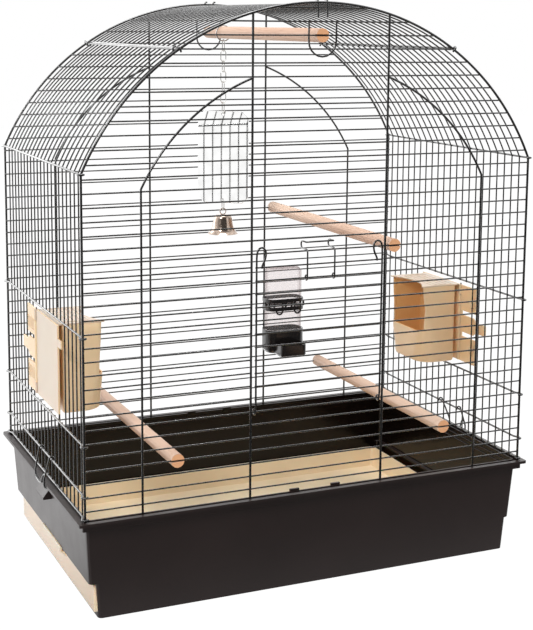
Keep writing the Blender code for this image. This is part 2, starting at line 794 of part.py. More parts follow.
def clip_lug(side):
    """Wedge on the outer wall under a base clip."""
    wall_x = RIM_X - WALL_INSET
    outline = [
        (wall_x - WALL_THICKNESS / 2, RIM_Z - LUG_TOP),
        (wall_x + OVERRUN, RIM_Z - LUG_TOP),
        (wall_x + LUG_REACH, RIM_Z - LUG_TOP - LUG_DROP + WALL_THICKNESS),
        (wall_x + LUG_REACH, RIM_Z - LUG_TOP - LUG_DROP),
        (wall_x - WALL_THICKNESS, RIM_Z - LUG_TOP - LUG_DROP),
    ]
    turned = [(side * x, z) for x, z in outline]
    place = facing(-Y, X, Vector((0, LUG_Y, 0)))
    return slab("clip_lug_" + ("left" if side < 0 else "right"), turned, LUG_WIDTH, place)


def rim_tab(x, side):
    """Small upright tab on the rim's ledge, inside the panel."""
    inner = RIM_Y - RIM_WIDTH - LEDGE_STEP
    return block(
        f"rim_tab_{'back' if side > 0 else 'front'}_{'left' if x < 0 else 'right'}",
        (x - TAB_LENGTH / 2, min(side * inner, side * (inner + LEDGE_STEP + OVERRUN)), RIM_Z - LEDGE_DROP - OVERRUN),
        (x + TAB_LENGTH / 2, max(side * inner, side * (inner + LEDGE_STEP + OVERRUN)), RIM_Z + TAB_RISE),
    )


def tray():
    """Slide-out tray with its front and finger pull on the left."""
    skirt_foot = SKIRT_INSET + SKIRT_DRAFT
    bottom = FLOOR_TOP + 2 * CLEARANCE
    half_y = RIM_Y - WALL_INSET - WALL_DRAFT - SKIRT_DRAFT - WALL_THICKNESS - TRAY_GAP
    front_x = -(RIM_X - SKIRT_INSET + TRAY_FRONT_PROUD)
    back_x = RIM_X - skirt_foot - WALL_THICKNESS - TRAY_BACK_GAP
    middle = Vector(((front_x + back_x) / 2, 0, 0))
    half_x = (back_x - front_x) / 2
    inner = TRAY_CORNER - TRAY_WALL
    shell = loft("drawer", [
        (half_x, half_y, TRAY_CORNER, bottom),
        (half_x, half_y, TRAY_CORNER, bottom + TRAY_HEIGHT),
        (half_x - TRAY_WALL, half_y - TRAY_WALL, inner, bottom + TRAY_HEIGHT),
        (half_x - 2 * TRAY_WALL, half_y - 2 * TRAY_WALL, inner, bottom + TRAY_WALL),
    ], middle)
    front = block(
        "drawer_front",
        (front_x, -half_y, bottom + CLEARANCE),
        (front_x + 2 * TRAY_WALL, half_y, bottom + TRAY_HEIGHT + CLEARANCE),
    )
    pull_top = SKIRT_HEIGHT + PULL_RISE - 2 * CLEARANCE
    pull_low = bottom + TRAY_HEIGHT - PULL_DROP
    pull_outline = [
        (front_x + 2 * TRAY_WALL - OVERRUN, pull_low),
        (front_x - PULL_REACH, pull_low + PULL_DROP),
        (front_x - PULL_REACH, pull_top),
        (front_x - PULL_REACH + TRAY_WALL, pull_top),
        (front_x - PULL_REACH + TRAY_WALL, pull_low + PULL_DROP + OVERRUN),
        (front_x + 2 * TRAY_WALL - OVERRUN, pull_low + 2 * TRAY_WALL),
    ]
    pull = slab("drawer_pull", pull_outline, PULL_WIDTH - 2 * CLEARANCE, facing(-Y, X, Vector((0, PULL_Y, 0))))
    join(shell, front, pull)
    finish(shell, CREAM_PLASTIC)
    carry("drawer_slide", Vector((front_x, 0, bottom)), [shell])
    return shell


def perch(name, x, row):
    """Dowel slotted at both ends for the row wires."""
    z = row_z(row)
    half = ROW_Y + PERCH_PROUD
    dowel = rod(name, Vector((x, 0, z)), PERCH_RADIUS, 2 * half, Y)
    slots = []
    for side in (-1, 1):
        seat = side * (ROW_Y - ROW_WIRE - CLEARANCE)
        end = side * (half + CUT_OVERRUN)
        slots.append(block(
            f"{name}_slot_{'back' if side > 0 else 'front'}",
            (x - 2 * PERCH_RADIUS, min(seat, end), z - ROW_WIRE - CLEARANCE),
            (x + 2 * PERCH_RADIUS, max(seat, end), z + ROW_WIRE + CLEARANCE),
        ))
    cut(dowel, *slots)
    return finish(dowel, WOOD, 40)


def feeder(side_name, turn, first_wire, drop):
    """Cup with its cover on a hinge pin, and the flange that holds the pin to the wires."""
    plate_out = BAR_X + BAR_WIRE + FEEDER_STANDOFF + FEEDER_PLATE
    bottom = RIM_Z + FEEDER_BOTTOM - drop
    held_y = side_wire_y(FEEDER_FIRST_WIRE + FEEDER_WIRES)
    axis = Vector((-plate_out + FEEDER_PLATE / 2, held_y - FEEDER_AXIS_GAP, 0))
    shift = Vector((0, 0, 0))
    if turn:
        shift = Vector((0, side_wire_y(first_wire) + held_y, 0))
    placed = Matrix.Translation(shift) @ Matrix.Rotation(math.pi if turn else 0, 4, "Z")
    name = "feeder_" + side_name
    cup = feeder_cup(name + "_cup", axis, plate_out, bottom)
    cover = feeder_cover(name + "_cover", axis, plate_out, bottom)
    flange = feeder_flange(name + "_flange", axis, plate_out, bottom)
    pin_length = FEEDER_PLATE_HEIGHT - 2 * CLEARANCE
    pin = rod(name + "_pin", axis + (bottom + FEEDER_PLATE_HEIGHT / 2) * Z, PIN_RADIUS, pin_length, Z, 8)
    finish(pin, STEEL, 50)
    for piece in [cup, cover, flange, pin]:
        piece.matrix_world = placed @ piece.matrix_world
        for step in piece.modifiers:
            step.object.matrix_world = placed @ step.object.matrix_world
    bpy.context.view_layer.update()
    carry(name + "_hinge", placed @ (axis + bottom * Z), [cup, cover])


def feeder_cup(name, axis, plate_out, bottom):
    """Moulded cup: outer plate, hollow body with a sloping floor and an open mouth inside."""
    near = axis.y - FEEDER_SEAM
    far = axis.y - FEEDER_LENGTH
    middle_y = (near + far) / 2
    width = near - far
    out = -plate_out
    inner = axis.x + FEEDER_DEPTH
    body_top = bottom + FEEDER_BODY_HEIGHT
    plate_top = bottom + FEEDER_PLATE_HEIGHT
    slope_x = inner - FEEDER_CHAMFER
    place = facing(-Y, X, Vector((0, middle_y, 0)))
    cup = slab(name, [
        (out, bottom),
        (out + FEEDER_PLATE, bottom),
        (slope_x, bottom + FEEDER_BOTTOM_SLOPE),
        (inner, bottom + FEEDER_BOTTOM_SLOPE + FEEDER_CHAMFER),
        (inner, body_top),
        (out + FEEDER_PLATE, body_top),
        (out + FEEDER_PLATE, plate_top),
        (out, plate_top),
    ], width, place)
    wall = FEEDER_WALL
    hollow = slab(name + "_hollow", [
        (out + FEEDER_PLATE + wall, bottom + 1.5 * wall),
        (slope_x - wall / 2, bottom + FEEDER_BOTTOM_SLOPE + wall),
        (inner - wall, bottom + FEEDER_BOTTOM_SLOPE + FEEDER_CHAMFER + wall / 2),
        (inner - wall, body_top + CUT_OVERRUN),
        (out + FEEDER_PLATE + wall, body_top + CUT_OVERRUN),
    ], width - 2 * wall, place)
    mouth_low = bottom + FEEDER_LIP
    mouth_high = body_top - FEEDER_HEAD
    half = width / 2 - FEEDER_MOUTH_MARGIN
    corner = FEEDER_MOUTH_CORNER
    outline = [(-half, mouth_high)]
    for side in (-1, 1):
        start = math.pi if side < 0 else 1.5 * math.pi
        centre = Vector((side * (half - corner), mouth_low + corner))
        for a in evenly(start, start + math.pi / 2, EYE_STEPS):
            outline.append((centre.x + corner * math.cos(a), centre.y + corner * math.sin(a)))
    outline.append((half, mouth_high))
    mouth = slab(name + "_mouth", outline, 3 * wall, facing(X, Y, Vector((inner, middle_y, 0))))
    handle_top = body_top - FEEDER_HEAD
    handle = block(
        name + "_handle",
        (out, far - HANDLE_LENGTH, handle_top - HANDLE_HEIGHT),
        (out + FEEDER_PLATE - CLEARANCE, far + OVERRUN, handle_top),
    )
    barrels = []
    for part, z in (("low", bottom + BARREL_LENGTH / 2), ("high", plate_top - BARREL_LENGTH / 2)):
        half_length = BARREL_LENGTH / 2 - CLEARANCE
        barrels.append(rod(f"{name}_barrel_{part}", axis + z * Z, BARREL_RADIUS, 2 * half_length, Z, 10))
        barrels.append(block(
            f"{name}_web_{part}",
            (out, near - OVERRUN, z - half_length + CLEARANCE),
            (out + FEEDER_PLATE, axis.y, z + half_length - CLEARANCE),
        ))
    bore = rod(name + "_bore", axis + (bottom + plate_top) / 2 * Z, PIN_RADIUS + CLEARANCE,
               FEEDER_PLATE_HEIGHT + 2 * CUT_OVERRUN, Z, 8)
    cut(cup, hollow, mouth)
    join(cup, handle, *barrels)
    cut(cup, bore)
    return finish(cup, CREAM_PLASTIC, 30)


def feeder_cover(name, axis, plate_out, bottom):
    """Flat ribbed cover that lies in the top of the cup."""
    gap = FEEDER_WALL + CLEARANCE
    near = axis.y - FEEDER_SEAM - gap
    far = axis.y - FEEDER_LENGTH + gap
    left = -plate_out + FEEDER_PLATE + gap
    right = axis.x + FEEDER_DEPTH - gap
    top = bottom + FEEDER_BODY_HEIGHT - COVER_DROP + COVER_THICKNESS
    cover = block(name, (left, far, top - COVER_THICKNESS), (right, near, top))
    ribs = []
    margin = 2 * RIB_WIDTH
    for i, y in enumerate(evenly(far + margin, near - margin, COVER_RIBS - 1)):
        ribs.append(block(
            f"{name}_rib_{i}",
            (left + margin, y - RIB_WIDTH / 2, top - COVER_THICKNESS / 2),
            (right - margin, y + RIB_WIDTH / 2, top + RIB_RISE),
        ))
    join(cover, *ribs)
    return finish(cover, CREAM_PLASTIC)


def feeder_flange(name, axis, plate_out, bottom):
    """Ribbed plate beside the cup, with a tongue over the wires and clips round one of them."""
    out = -plate_out
    back = out + FEEDER_PLATE
    near = axis.y + FEEDER_SEAM
    far = axis.y + FEEDER_SEAM + FLANGE_LENGTH
    top = bottom + FEEDER_PLATE_HEIGHT
    middle_z = (bottom + top) / 2
    tip = far + TONGUE_LENGTH
    notch_in = far - TONGUE_NOTCH
    half = TONGUE_HEIGHT / 2
    deep = half + TONGUE_NOTCH / 2
    outline = [
        (near, bottom), (far, bottom), (far, middle_z - deep), (notch_in, middle_z - deep),
        (notch_in, middle_z - half), (tip, middle_z - half), (tip, middle_z + half),
        (notch_in, middle_z + half), (notch_in, middle_z + deep), (far, middle_z + deep),
        (far, top), (near, top),
    ]
    plate = slab(name, outline, FEEDER_PLATE, facing(X, Y, Vector((out + FEEDER_PLATE / 2, 0, 0))))
    added = []
    rib_low = bottom + BARREL_LENGTH
    rib_high = middle_z - deep - RIB_WIDTH
    for i, y in enumerate(evenly(near + 3 * RIB_WIDTH, notch_in - RIB_WIDTH, FLANGE_RIBS - 1)):
        added.append(block(
            f"{name}_rib_{i}",
            (out - RIB_RISE, y - RIB_WIDTH / 2, rib_low),
            (out + FEEDER_PLATE / 2, y + RIB_WIDTH / 2, top - (rib_low - bottom)),
        ))
    wire_y = side_wire_y(FEEDER_FIRST_WIRE + FEEDER_WIRES)
    clip_reach = -SIDE_X + ROW_WIRE + CLIP_THICKNESS
    for i, z in enumerate((bottom + BARREL_LENGTH + CLIP_HEIGHT, top - BARREL_LENGTH - CLIP_HEIGHT)):
        low = wire_y - ROW_WIRE - CLEARANCE - CLIP_THICKNESS
        added.append(block(
            f"{name}_clip_{i}",
            (back - FEEDER_PLATE / 2, low, z - CLIP_HEIGHT / 2),
            (clip_reach, low + CLIP_THICKNESS, z + CLIP_HEIGHT / 2),
        ))
        added.append(block(
            f"{name}_clip_lip_{i}",
            (clip_reach - CLIP_THICKNESS + CLEARANCE, low + OVERRUN, z - CLIP_HEIGHT / 3),
            (clip_reach - CLEARANCE, wire_y + ROW_WIRE, z + CLIP_HEIGHT / 3),
        ))
    barrel_length = FEEDER_PLATE_HEIGHT - 2 * BARREL_LENGTH - 2 * CLEARANCE
    added.append(rod(name + "_barrel", axis + middle_z * Z, BARREL_RADIUS, barrel_length, Z, 10))
    web = block(
        name + "_web",
        (out, axis.y, middle_z - barrel_length / 2 + CLEARANCE),
        (back, near + OVERRUN, middle_z + barrel_length / 2 - CLEARANCE),
    )
    join(plate, *added, web)
    bore = rod(name + "_bore", axis + middle_z * Z, PIN_RADIUS + CLEARANCE,
               FEEDER_PLATE_HEIGHT + 2 * CUT_OVERRUN, Z, 8)
    cut(plate, bore)
    return finish(plate, CREAM_PLASTIC, 30)


def row_arm(name, x, start_y, row):
    """Arm that reaches a back row, and the slot that the row passes through."""
    z = row_z(row)
    end = ROW_Y + PERCH_PROUD
    arm = block(name, (x - ARM_WIDTH / 2, start_y, z - ARM_HEIGHT / 2), (x + ARM_WIDTH / 2, end, z + ARM_HEIGHT / 2))
    slot = block(
        name + "_slot",
        (x - ARM_WIDTH, ROW_Y - ROW_WIRE - CLEARANCE, z - ROW_WIRE - CLEARANCE),
        (x + ARM_WIDTH, end + CUT_OVERRUN, z + ROW_WIRE + CLEARANCE),
    )
    return arm, slot


def drinker():
    """Clear tank in a collar on the back panel, over a basin with a drinking trough."""
    centre = Vector((DRINKER_X, HALF_Y - DRINKER_BACK_GAP, 0))
    half_x = TANK_WIDTH / 2
    half_y = TANK_DEPTH / 2
    bottom = RIM_Z + TANK_BOTTOM
    top = bottom + TANK_HEIGHT
    crown = TANK_CORNER / 3
    inner_x = half_x - TANK_WALL
    inner_y = half_y - TANK_WALL
    inner_corner = TANK_CORNER - TANK_WALL
    tank = loft("drinker_tank", [
        (inner_x, inner_y, inner_corner, top - TANK_WALL),
        (inner_x, inner_y, inner_corner, bottom),
        (half_x, half_y, TANK_CORNER, bottom),
        (half_x, half_y, TANK_CORNER, top - crown),
        (half_x - crown, half_y - crown, TANK_CORNER - crown, top),
    ], centre)
    finish(tank, CLEAR_PLASTIC, 30)
    drinker_collar(centre, half_x + CLEARANCE, half_y + CLEARANCE)
    drinker_basin(centre, half_x + CLEARANCE, half_y + CLEARANCE)


def drinker_collar(centre, half_x, half_y):
    low = RIM_Z + COLLAR_BOTTOM
    high = low + COLLAR_HEIGHT
    corner = TANK_CORNER + CLEARANCE
    shell = (half_x + COLLAR_WALL, half_y + COLLAR_WALL, corner + COLLAR_WALL)
    collar = loft("drinker_collar", [(*shell, low), (*shell, high)], centre)
    hole = loft("drinker_collar_hole", [
        (half_x, half_y, corner, low - CUT_OVERRUN),
        (half_x, half_y, corner, high + CUT_OVERRUN),
    ], centre)
    middle = (low + high) / 2
    front = centre.y - half_y - COLLAR_WALL
    windows = [
        block(
            f"drinker_window_{i}",
            (centre.x + x - WINDOW_WIDTH / 2, front - CUT_OVERRUN, middle - WINDOW_HEIGHT / 2),
            (centre.x + x + WINDOW_WIDTH / 2, centre.y, middle + WINDOW_HEIGHT / 2),
        )
        for i, x in enumerate((-ARM_SPREAD * 0.7, ARM_SPREAD * 0.7))
    ]
    arms = [
        row_arm(f"drinker_collar_arm_{i}", centre.x + x, centre.y + half_y + COLLAR_WALL / 2, COLLAR_ROW)
        for i, x in enumerate((-ARM_SPREAD, ARM_SPREAD))
    ]
    cut(collar, hole, *windows)
    join(collar, *[arm for arm, _ in arms])
    cut(collar, *[slot for _, slot in arms])
    return finish(collar, BLACK_PLASTIC, 30)


def drinker_basin(centre, half_x, half_y):
    """Block that the tank stands in, with a trough towards the bird."""
    low = RIM_Z + BASIN_BOTTOM
    seat = RIM_Z + TANK_BOTTOM - CLEARANCE
    high = RIM_Z + BASIN_TOP
    rim = RIM_Z + TROUGH_RIM
    wall = BASIN_WALL
    back = centre.y + half_y + wall
    front = centre.y - half_y - wall
    tip = front - TROUGH_LENGTH
    lip = tip + TROUGH_LENGTH * TROUGH_LIP_SHARE
    outline = [
        (back, low), (back, high), (front, high), (front, rim), (tip, rim), (tip, rim - 2 * wall), (lip, low),
    ]
    place = facing(X, Y, centre - centre.y * Y)
    basin = slab("drinker_basin", outline, 2 * (half_x + wall), place)
    seat_cut = block(
        "drinker_seat",
        (centre.x - half_x, centre.y - half_y, seat),
        (centre.x + half_x, centre.y + half_y, high + CUT_OVERRUN),
    )
    inside = [
        (centre.y + half_y - 2 * wall, low + wall),
        (centre.y + half_y - 2 * wall, seat + CUT_OVERRUN),
        (centre.y - half_y + 2 * wall, seat + CUT_OVERRUN),
        (centre.y - half_y + 2 * wall, rim - wall),
        (front, rim - wall),
        (front, rim + CUT_OVERRUN),
        (tip + wall, rim + CUT_OVERRUN),
        (tip + wall, rim - 2 * wall),
        (lip + wall, low + wall),
    ]
    well = slab("drinker_well", inside, 2 * (half_x - 2 * wall), place)
    arms = [
        row_arm(f"drinker_basin_arm_{i}", centre.x + x, back - wall / 2, BASIN_ROW)
        for i, x in enumerate((-ARM_SPREAD, ARM_SPREAD))
    ]
    cut(basin, seat_cut, well)
    join(basin, *[arm for arm, _ in arms])
    cut(basin, *[slot for _, slot in arms])
    return finish(basin, BLACK_PLASTIC, 30)


def chain_link(name, centre, across, length=LINK_LENGTH, width=LINK_WIDTH):
    """Long closed link, its inner length along Z."""
    bend = width / 2
    straight = (length / 2 + TOY_WIRE - bend * math.cos(math.pi / 6)) * Z
    top = arc(centre + straight, bend, 0, math.pi, 3, across, Z)
    low = arc(centre - straight, bend, math.pi, 2 * math.pi, 3, across, Z)
    return finish(wires(name, [[*top, *low]], TOY_WIRE, closed=True), STEEL, 60)


def toy():
    """Hook over the top perch, chain, mirror, bell and clapper."""
    pivot = Vector((0, HALF_Y - TOY_BACK_GAP, row_z(ROW_COUNT - TOP_PERCH_ROWS_DOWN)))
    slack = TOY_WIRE + CLEARANCE
    hook_radius = PERCH_RADIUS + TOY_HOOK_WIRE + slack + 2 * CLEARANCE
    ring = arc(pivot - slack * Z, hook_radius, 0, 2 * math.pi, 4 * EYE_STEPS, X, Z)[:-1]
    hook = finish(wires("toy_hook", [ring], TOY_HOOK_WIRE, sides=6, closed=True), STEEL, 60)
    pieces = [hook]
    seat = pivot.z - slack - hook_radius + TOY_HOOK_WIRE + CLEARANCE
    pitch = LINK_LENGTH - CLEARANCE
    for i in range(LINKS):
        across = Y if i % 2 == 0 else X
        middle = Vector((pivot.x, pivot.y, seat - LINK_LENGTH / 2 - i * pitch))
        pieces.append(chain_link(f"toy_link_{i + 1}", middle, across))
    mirror, seat = toy_mirror(pivot, seat - LINK_LENGTH - (LINKS - 1) * pitch)
    pieces.append(mirror)
    middle = Vector((pivot.x, pivot.y, seat + CLEARANCE - CONNECTOR_LENGTH / 2))
    pieces.append(chain_link("toy_connector", middle, Y, CONNECTOR_LENGTH))
    carried = carry("toy_swing", pivot, pieces)
    toy_bell(pivot, middle.z - CONNECTOR_LENGTH / 2, carried)


def toy_mirror(pivot, link_low):
    """Octagonal plate with a hole at the top and one at the bottom for the links."""
    hole_z = link_low + 2 * CLEARANCE - MIRROR_HOLE
    top = hole_z + MIRROR_HOLE * 2
    low = top - MIRROR_HEIGHT
    half = MIRROR_WIDTH / 2
    c = MIRROR_CHAMFER
    outline = [
        (-half, low + c), (-half + c, low), (half - c, low), (half, low + c),
        (half, top - c), (half - c, top), (-half + c, top), (-half, top - c),
    ]
    centre = Vector((pivot.x, pivot.y, 0))
    mirror = slab("toy_mirror", outline, MIRROR_THICKNESS, facing(-Y, X, centre))
    low_hole = low + MIRROR_HOLE * 2
    holes = [
        rod(f"toy_mirror_hole_{i}", centre + z * Z, MIRROR_HOLE, 3 * MIRROR_THICKNESS, Y, 8)
        for i, z in enumerate((hole_z, low_hole))
    ]
    cut(mirror, *holes)
    return finish(mirror, MIRROR), low_hole - MIRROR_HOLE


def toy_bell(pivot, link_low, carried):
    """Flared bell on a ring, with a clapper on a stem inside."""
    ring_z = link_low + TOY_WIRE + CLEARANCE - BELL_RING
    centre = Vector((pivot.x, pivot.y, ring_z))
    crown_z = ring_z - BELL_RING
    lip_z = crown_z - BELL_HEIGHT
    outer = [(share * BELL_RADIUS, lip_z + up * BELL_HEIGHT) for share, up in BELL_PROFILE_SHARES]
    inner = [(r - BELL_WALL, z - (BELL_WALL if i == len(outer) - 1 else 0)) for i, (r, z) in enumerate(outer)]
    profile = [(0, crown_z), *reversed(outer), *inner, (0, crown_z - BELL_WALL)]
    line = bpy.data.meshes.new("toy_bell")
    shape = bmesh.new()
    points = [shape.verts.new((r, 0, z)) for r, z in profile]
    for a, b in zip(points, points[1:]):
        shape.edges.new((a, b))
    bmesh.ops.spin(
        shape, geom=shape.verts[:] + shape.edges[:], axis=Z, cent=(0, 0, 0),
        angle=2 * math.pi, steps=ROUND_SIDES, use_merge=True,
    )
    bmesh.ops.remove_doubles(shape, verts=shape.verts, dist=MERGE)
    bmesh.ops.recalc_face_normals(shape, faces=shape.faces)
    shape.to_mesh(line)
    shape.free()
    bell = add_object("toy_bell", line)
    bell.location = Vector((pivot.x, pivot.y, 0))
    ring_points = arc(centre, BELL_RING, 0, 2 * math.pi, 2 * EYE_STEPS, X, Z)[:-1]
    join(bell, wires("toy_bell_ring", [ring_points], TOY_WIRE, closed=True))
    finish(bell, BRONZE, 40)
    eye_z = crown_z - BELL_WALL - 2 * CLEARANCE
    tip = lip_z - CLAPPER_PROUD + CLAPPER_RADIUS
    stem = rod("toy_clapper", Vector((pivot.x, pivot.y, (eye_z + tip) / 2)), TOY_WIRE, eye_z - tip, Z, 6)
    ball = bmesh.new()
    bmesh.ops.create_uvsphere(
        ball, u_segments=8, v_segments=6, radius=CLAPPER_RADIUS,
        matrix=Matrix.Translation(Vector((pivot.x, pivot.y, tip))),
    )
    ball_mesh = bpy.data.meshes.new("toy_clapper_ball")
    ball.to_mesh(ball_mesh)
    ball.free()
    join(stem, add_object("toy_clapper_ball", ball_mesh))
    finish(stem, BRONZE, 40)
    swing = carry("toy_bell_swing", Vector((pivot.x, pivot.y, link_low)), [bell], carried)
    carry("toy_clapper_swing", Vector((pivot.x, pivot.y, eye_z)), [stem], swing)


def base_clip(name, side):
    """Bent wire that swings on the lower side bar and hooks under the rim's edge."""
    bar_z = RIM_Z + LOW_BAR_HEIGHT
    eye_radius = BAR_WIRE + EYE_CLEARANCE + BENT_WIRE
    edge = side * (RIM_X + CLEARANCE + BENT_WIRE)
    legs = []
    for y, foot_y in zip(CLIP_LEG_Y, CLIP_FOOT_Y):
        centre = Vector((side * BAR_X, y, bar_z))
        eye = arc(centre, eye_radius, math.radians(200), 0, EYE_STEPS, side * X, Z)
        legs.append([*eye, Vector((edge, foot_y, RIM_Z + CLIP_FOOT_RISE))])
    loop = [Vector((edge, y, RIM_Z + z)) for y, z in zip(CLIP_LOOP_Y, CLIP_LOOP_Z)]
    eye_end, foot = legs[1][-2:]
    weld = eye_end.lerp(foot, (eye_end.z - loop[-1].z) / (eye_end.z - foot.z))
    loop[-1].x = weld.x
    hook_y = CLIP_FOOT_Y[1]
    hook_z = RIM_Z - CLIP_HOOK_DROP
    hook = [
        Vector((edge, hook_y, hook_z + 2 * BENT_WIRE)),
        Vector((edge - side * WELD, hook_y - 2 * BENT_WIRE, hook_z)),
        Vector((edge - side * CLIP_HOOK_TUCK, hook_y - CLIP_HOOK_LENGTH, hook_z)),
    ]
    clip = wires(name, [[*legs[0], *loop, weld]], BENT_WIRE, sides=6)
    join(clip, wires(name + "_hook", [[*legs[1], *hook]], BENT_WIRE, sides=6))
    finish(clip, WIRE_ENAMEL, 50)
    carry(name + "_pivot", Vector((side * BAR_X, 0, bar_z)), [clip])


def build():
    base_tub()
    tray()
    wall_panel("front_panel", -1, doorway=True)
    wall_panel("back_panel", 1)
    side_panel("left_side", -1, FEEDER_FIRST_WIRE)
    side_panel("right_side", 1, FEEDER_FIRST_WIRE + FEEDER_RIGHT_SHIFT)
    roof_lid()
    front_door()
    perch("perch_top", 0, ROW_COUNT - TOP_PERCH_ROWS_DOWN)
    perch("perch_middle", MIDDLE_PERCH_X, MIDDLE_PERCH_ROW)
    perch("perch_low_right", LOW_RIGHT_PERCH_X, LOW_PERCH_ROW)
    perch("perch_low_left", LOW_LEFT_PERCH_X, LOW_PERCH_ROW)
    feeder("left", False, FEEDER_FIRST_WIRE, 0)
    feeder("right", True, FEEDER_FIRST_WIRE + FEEDER_RIGHT_SHIFT, FEEDER_RIGHT_DROP)
    drinker()
    toy()
    base_clip("base_clip_left", -1)
    base_clip("base_clip_right", 1)


build()
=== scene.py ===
"""The arched wire bird cage as it looks: round enamelled wires, moulded plastics and wood."""

import math

import bmesh
import bpy
from mathutils import Matrix, Vector

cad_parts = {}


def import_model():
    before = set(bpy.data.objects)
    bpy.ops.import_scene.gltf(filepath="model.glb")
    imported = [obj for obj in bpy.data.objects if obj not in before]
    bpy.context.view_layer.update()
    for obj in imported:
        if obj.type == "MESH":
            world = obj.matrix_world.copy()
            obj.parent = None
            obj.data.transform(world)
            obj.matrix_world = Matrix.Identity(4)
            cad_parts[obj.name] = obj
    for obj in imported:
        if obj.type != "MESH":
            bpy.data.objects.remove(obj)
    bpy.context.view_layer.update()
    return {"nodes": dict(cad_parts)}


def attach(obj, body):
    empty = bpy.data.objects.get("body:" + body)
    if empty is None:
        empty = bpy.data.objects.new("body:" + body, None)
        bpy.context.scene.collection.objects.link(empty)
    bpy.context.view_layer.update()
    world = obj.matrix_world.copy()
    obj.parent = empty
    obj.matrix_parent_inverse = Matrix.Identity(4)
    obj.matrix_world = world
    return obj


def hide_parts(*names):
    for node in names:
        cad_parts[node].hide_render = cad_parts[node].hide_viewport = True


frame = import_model()

# Panels, between the axes of the corner posts, and heights above the rim
PANEL_LENGTH = 0.674
PANEL_DEPTH = 0.424
WALL_HEIGHT = 0.4588
ARCH_RISE = 0.2196
SIDE_INSET = 0.002
SIDE_GAPS = 22
ROW_PITCH = 0.0183
FIRST_ROW = 0.0125
TOP_ROW_MARGIN = 0.006
CENTRE_STAY_X = 0.1018
SIDE_STAY_X = 0.2575
INNER_ARC_RADIUS = 0.287
BAR_HEIGHTS = (0.003, 0.0337, 0.1018, 0.2467)
LID_HALF_LENGTH = 0.205
BASE_HEIGHT = 0.142
GROOVE_DEPTH = 0.004
RIM_MARGIN = 0.0105
RIM_FLANGE = 0.015

# Wire radii, and how far crossing wires sink into each other at a weld
FRAME_WIRE = 0.0018
CENTRE_STAY_WIRE = 0.0017
SIDE_STAY_WIRE = 0.0016
BAR_WIRE = 0.0015
DOOR_WIRE = 0.0014
BENT_WIRE = 0.0013
LATCH_WIRE = 0.0012
ROW_WIRE = 0.0011
WELD = 0.0008
OVERRUN = 0.0011
CLEARANCE = 0.0003

# Hooks, eyes and bends of the wires
HOOK_CLEARANCE = 0.0007
EYE_CLEARANCE = 0.001
HOOK_RUN = 0.012
ROOF_HOOK_RUN = 0.0065
HOOK_WRAP = math.radians(150)
CATCH_OPENING = math.radians(50)
BEND_SHARE = 0.1

# Front door and its latch, counted in the rows of the front panel
HINGE_ROW = 6
DOOR_ROWS = (7, 17)
CATCH_ROW = 18
DOOR_SIDE_GAP = 0.006
DOOR_STANDOFF = 0.0035
DOOR_EYE_JOG = 0.008
EYE_WRAP = math.radians(260)
DOOR_LOOP_HEIGHT = 0.028
DOOR_LOOP_WIDTH = 0.014
DOOR_LOOP_SHARES = (
    (0, 0.68), (0.2, 0.93), (0.57, 1), (0.9, 0.88), (1, 0.68), (0.9, 0.4), (0.57, 0.1),
)
LATCH_HALF_WIDTH = 0.0208
LATCH_PIVOT_ROW = 16
LATCH_REACH = 0.014
LATCH_CURL = 0.0098

# Wire loops and short hooked stays under the crown of the front and back panels
CROWN_LOOP_X = 0.0205
CROWN_LOOP_ROW = 35
CROWN_LOOP_DROP = 0.048
CROWN_STAY_X = 0.007
CROWN_STAY_LENGTH = 0.020
CROWN_HOOK_RISE = 0.004
CROWN_HOOK_LENGTH = 0.009

# Feeder openings, counted in side wires, and how much lower the right feeder stands
FEEDER_FIRST_WIRE = 5
FEEDER_WIRES = 9
FEEDER_RIGHT_SHIFT = 2
FEEDER_RIGHT_DROP = 0.005

# Feeders, written for the left side and turned half round for the right one
FEEDER_AXIS_GAP = 0.0458
FEEDER_STANDOFF = 0.002
FEEDER_PLATE = 0.0025
FEEDER_BOTTOM = 0.118
FEEDER_HEIGHT = 0.124
FEEDER_FAR = 0.110
FEEDER_PLATE_FAR = 0.119
FEEDER_DEPTH = 0.068
FEEDER_SEAM = 0.004
FEEDER_WALL = 0.002
CUP_DROP = 0.003
CUP_LIP = 0.052
CUP_ROUND = 0.028
CUP_LIP_CORNERS = (0.021, 0.015)
CUP_TOP_CORNERS = (0.006, 0.010)
CUP_OUTER_CORNER = 0.0015
CUP_LEAST_CORNER = 0.0008
CUP_FOOT = ((0.0045, 0), (0.0013, 0.0014))
CUP_FOOT_HEIGHT = 0.005
CUP_FLOOR_INSET = 0.004
MOUTH_DEPTH = 0.0075
NECK_INSET = (0.032, 0.012)
COVER_THICKNESS = 0.002
COVER_SCOOP = 0.016
RIB_PITCH = 0.0095
RIB_WIDTH = 0.0014
RIB_RISE = 0.0007
FLANGE_LENGTH = 0.044
FLANGE_RIBS = 6
TONGUE_LENGTH = 0.028
TONGUE_ROOT = 0.028
TONGUE_TIP = 0.017
NOTCH_LENGTH = 0.041
NOTCH_HEIGHT = 0.007
HANDLE_LENGTH = 0.017
HANDLE_DROP = 0.018
HANDLE_HEIGHT = 0.011
BARREL_RADIUS = 0.0032
BARREL_LENGTH = 0.016
CLIP_THICKNESS = 0.0022
CLIP_HEIGHT = 0.010
CLIP_TAPER = 1.5

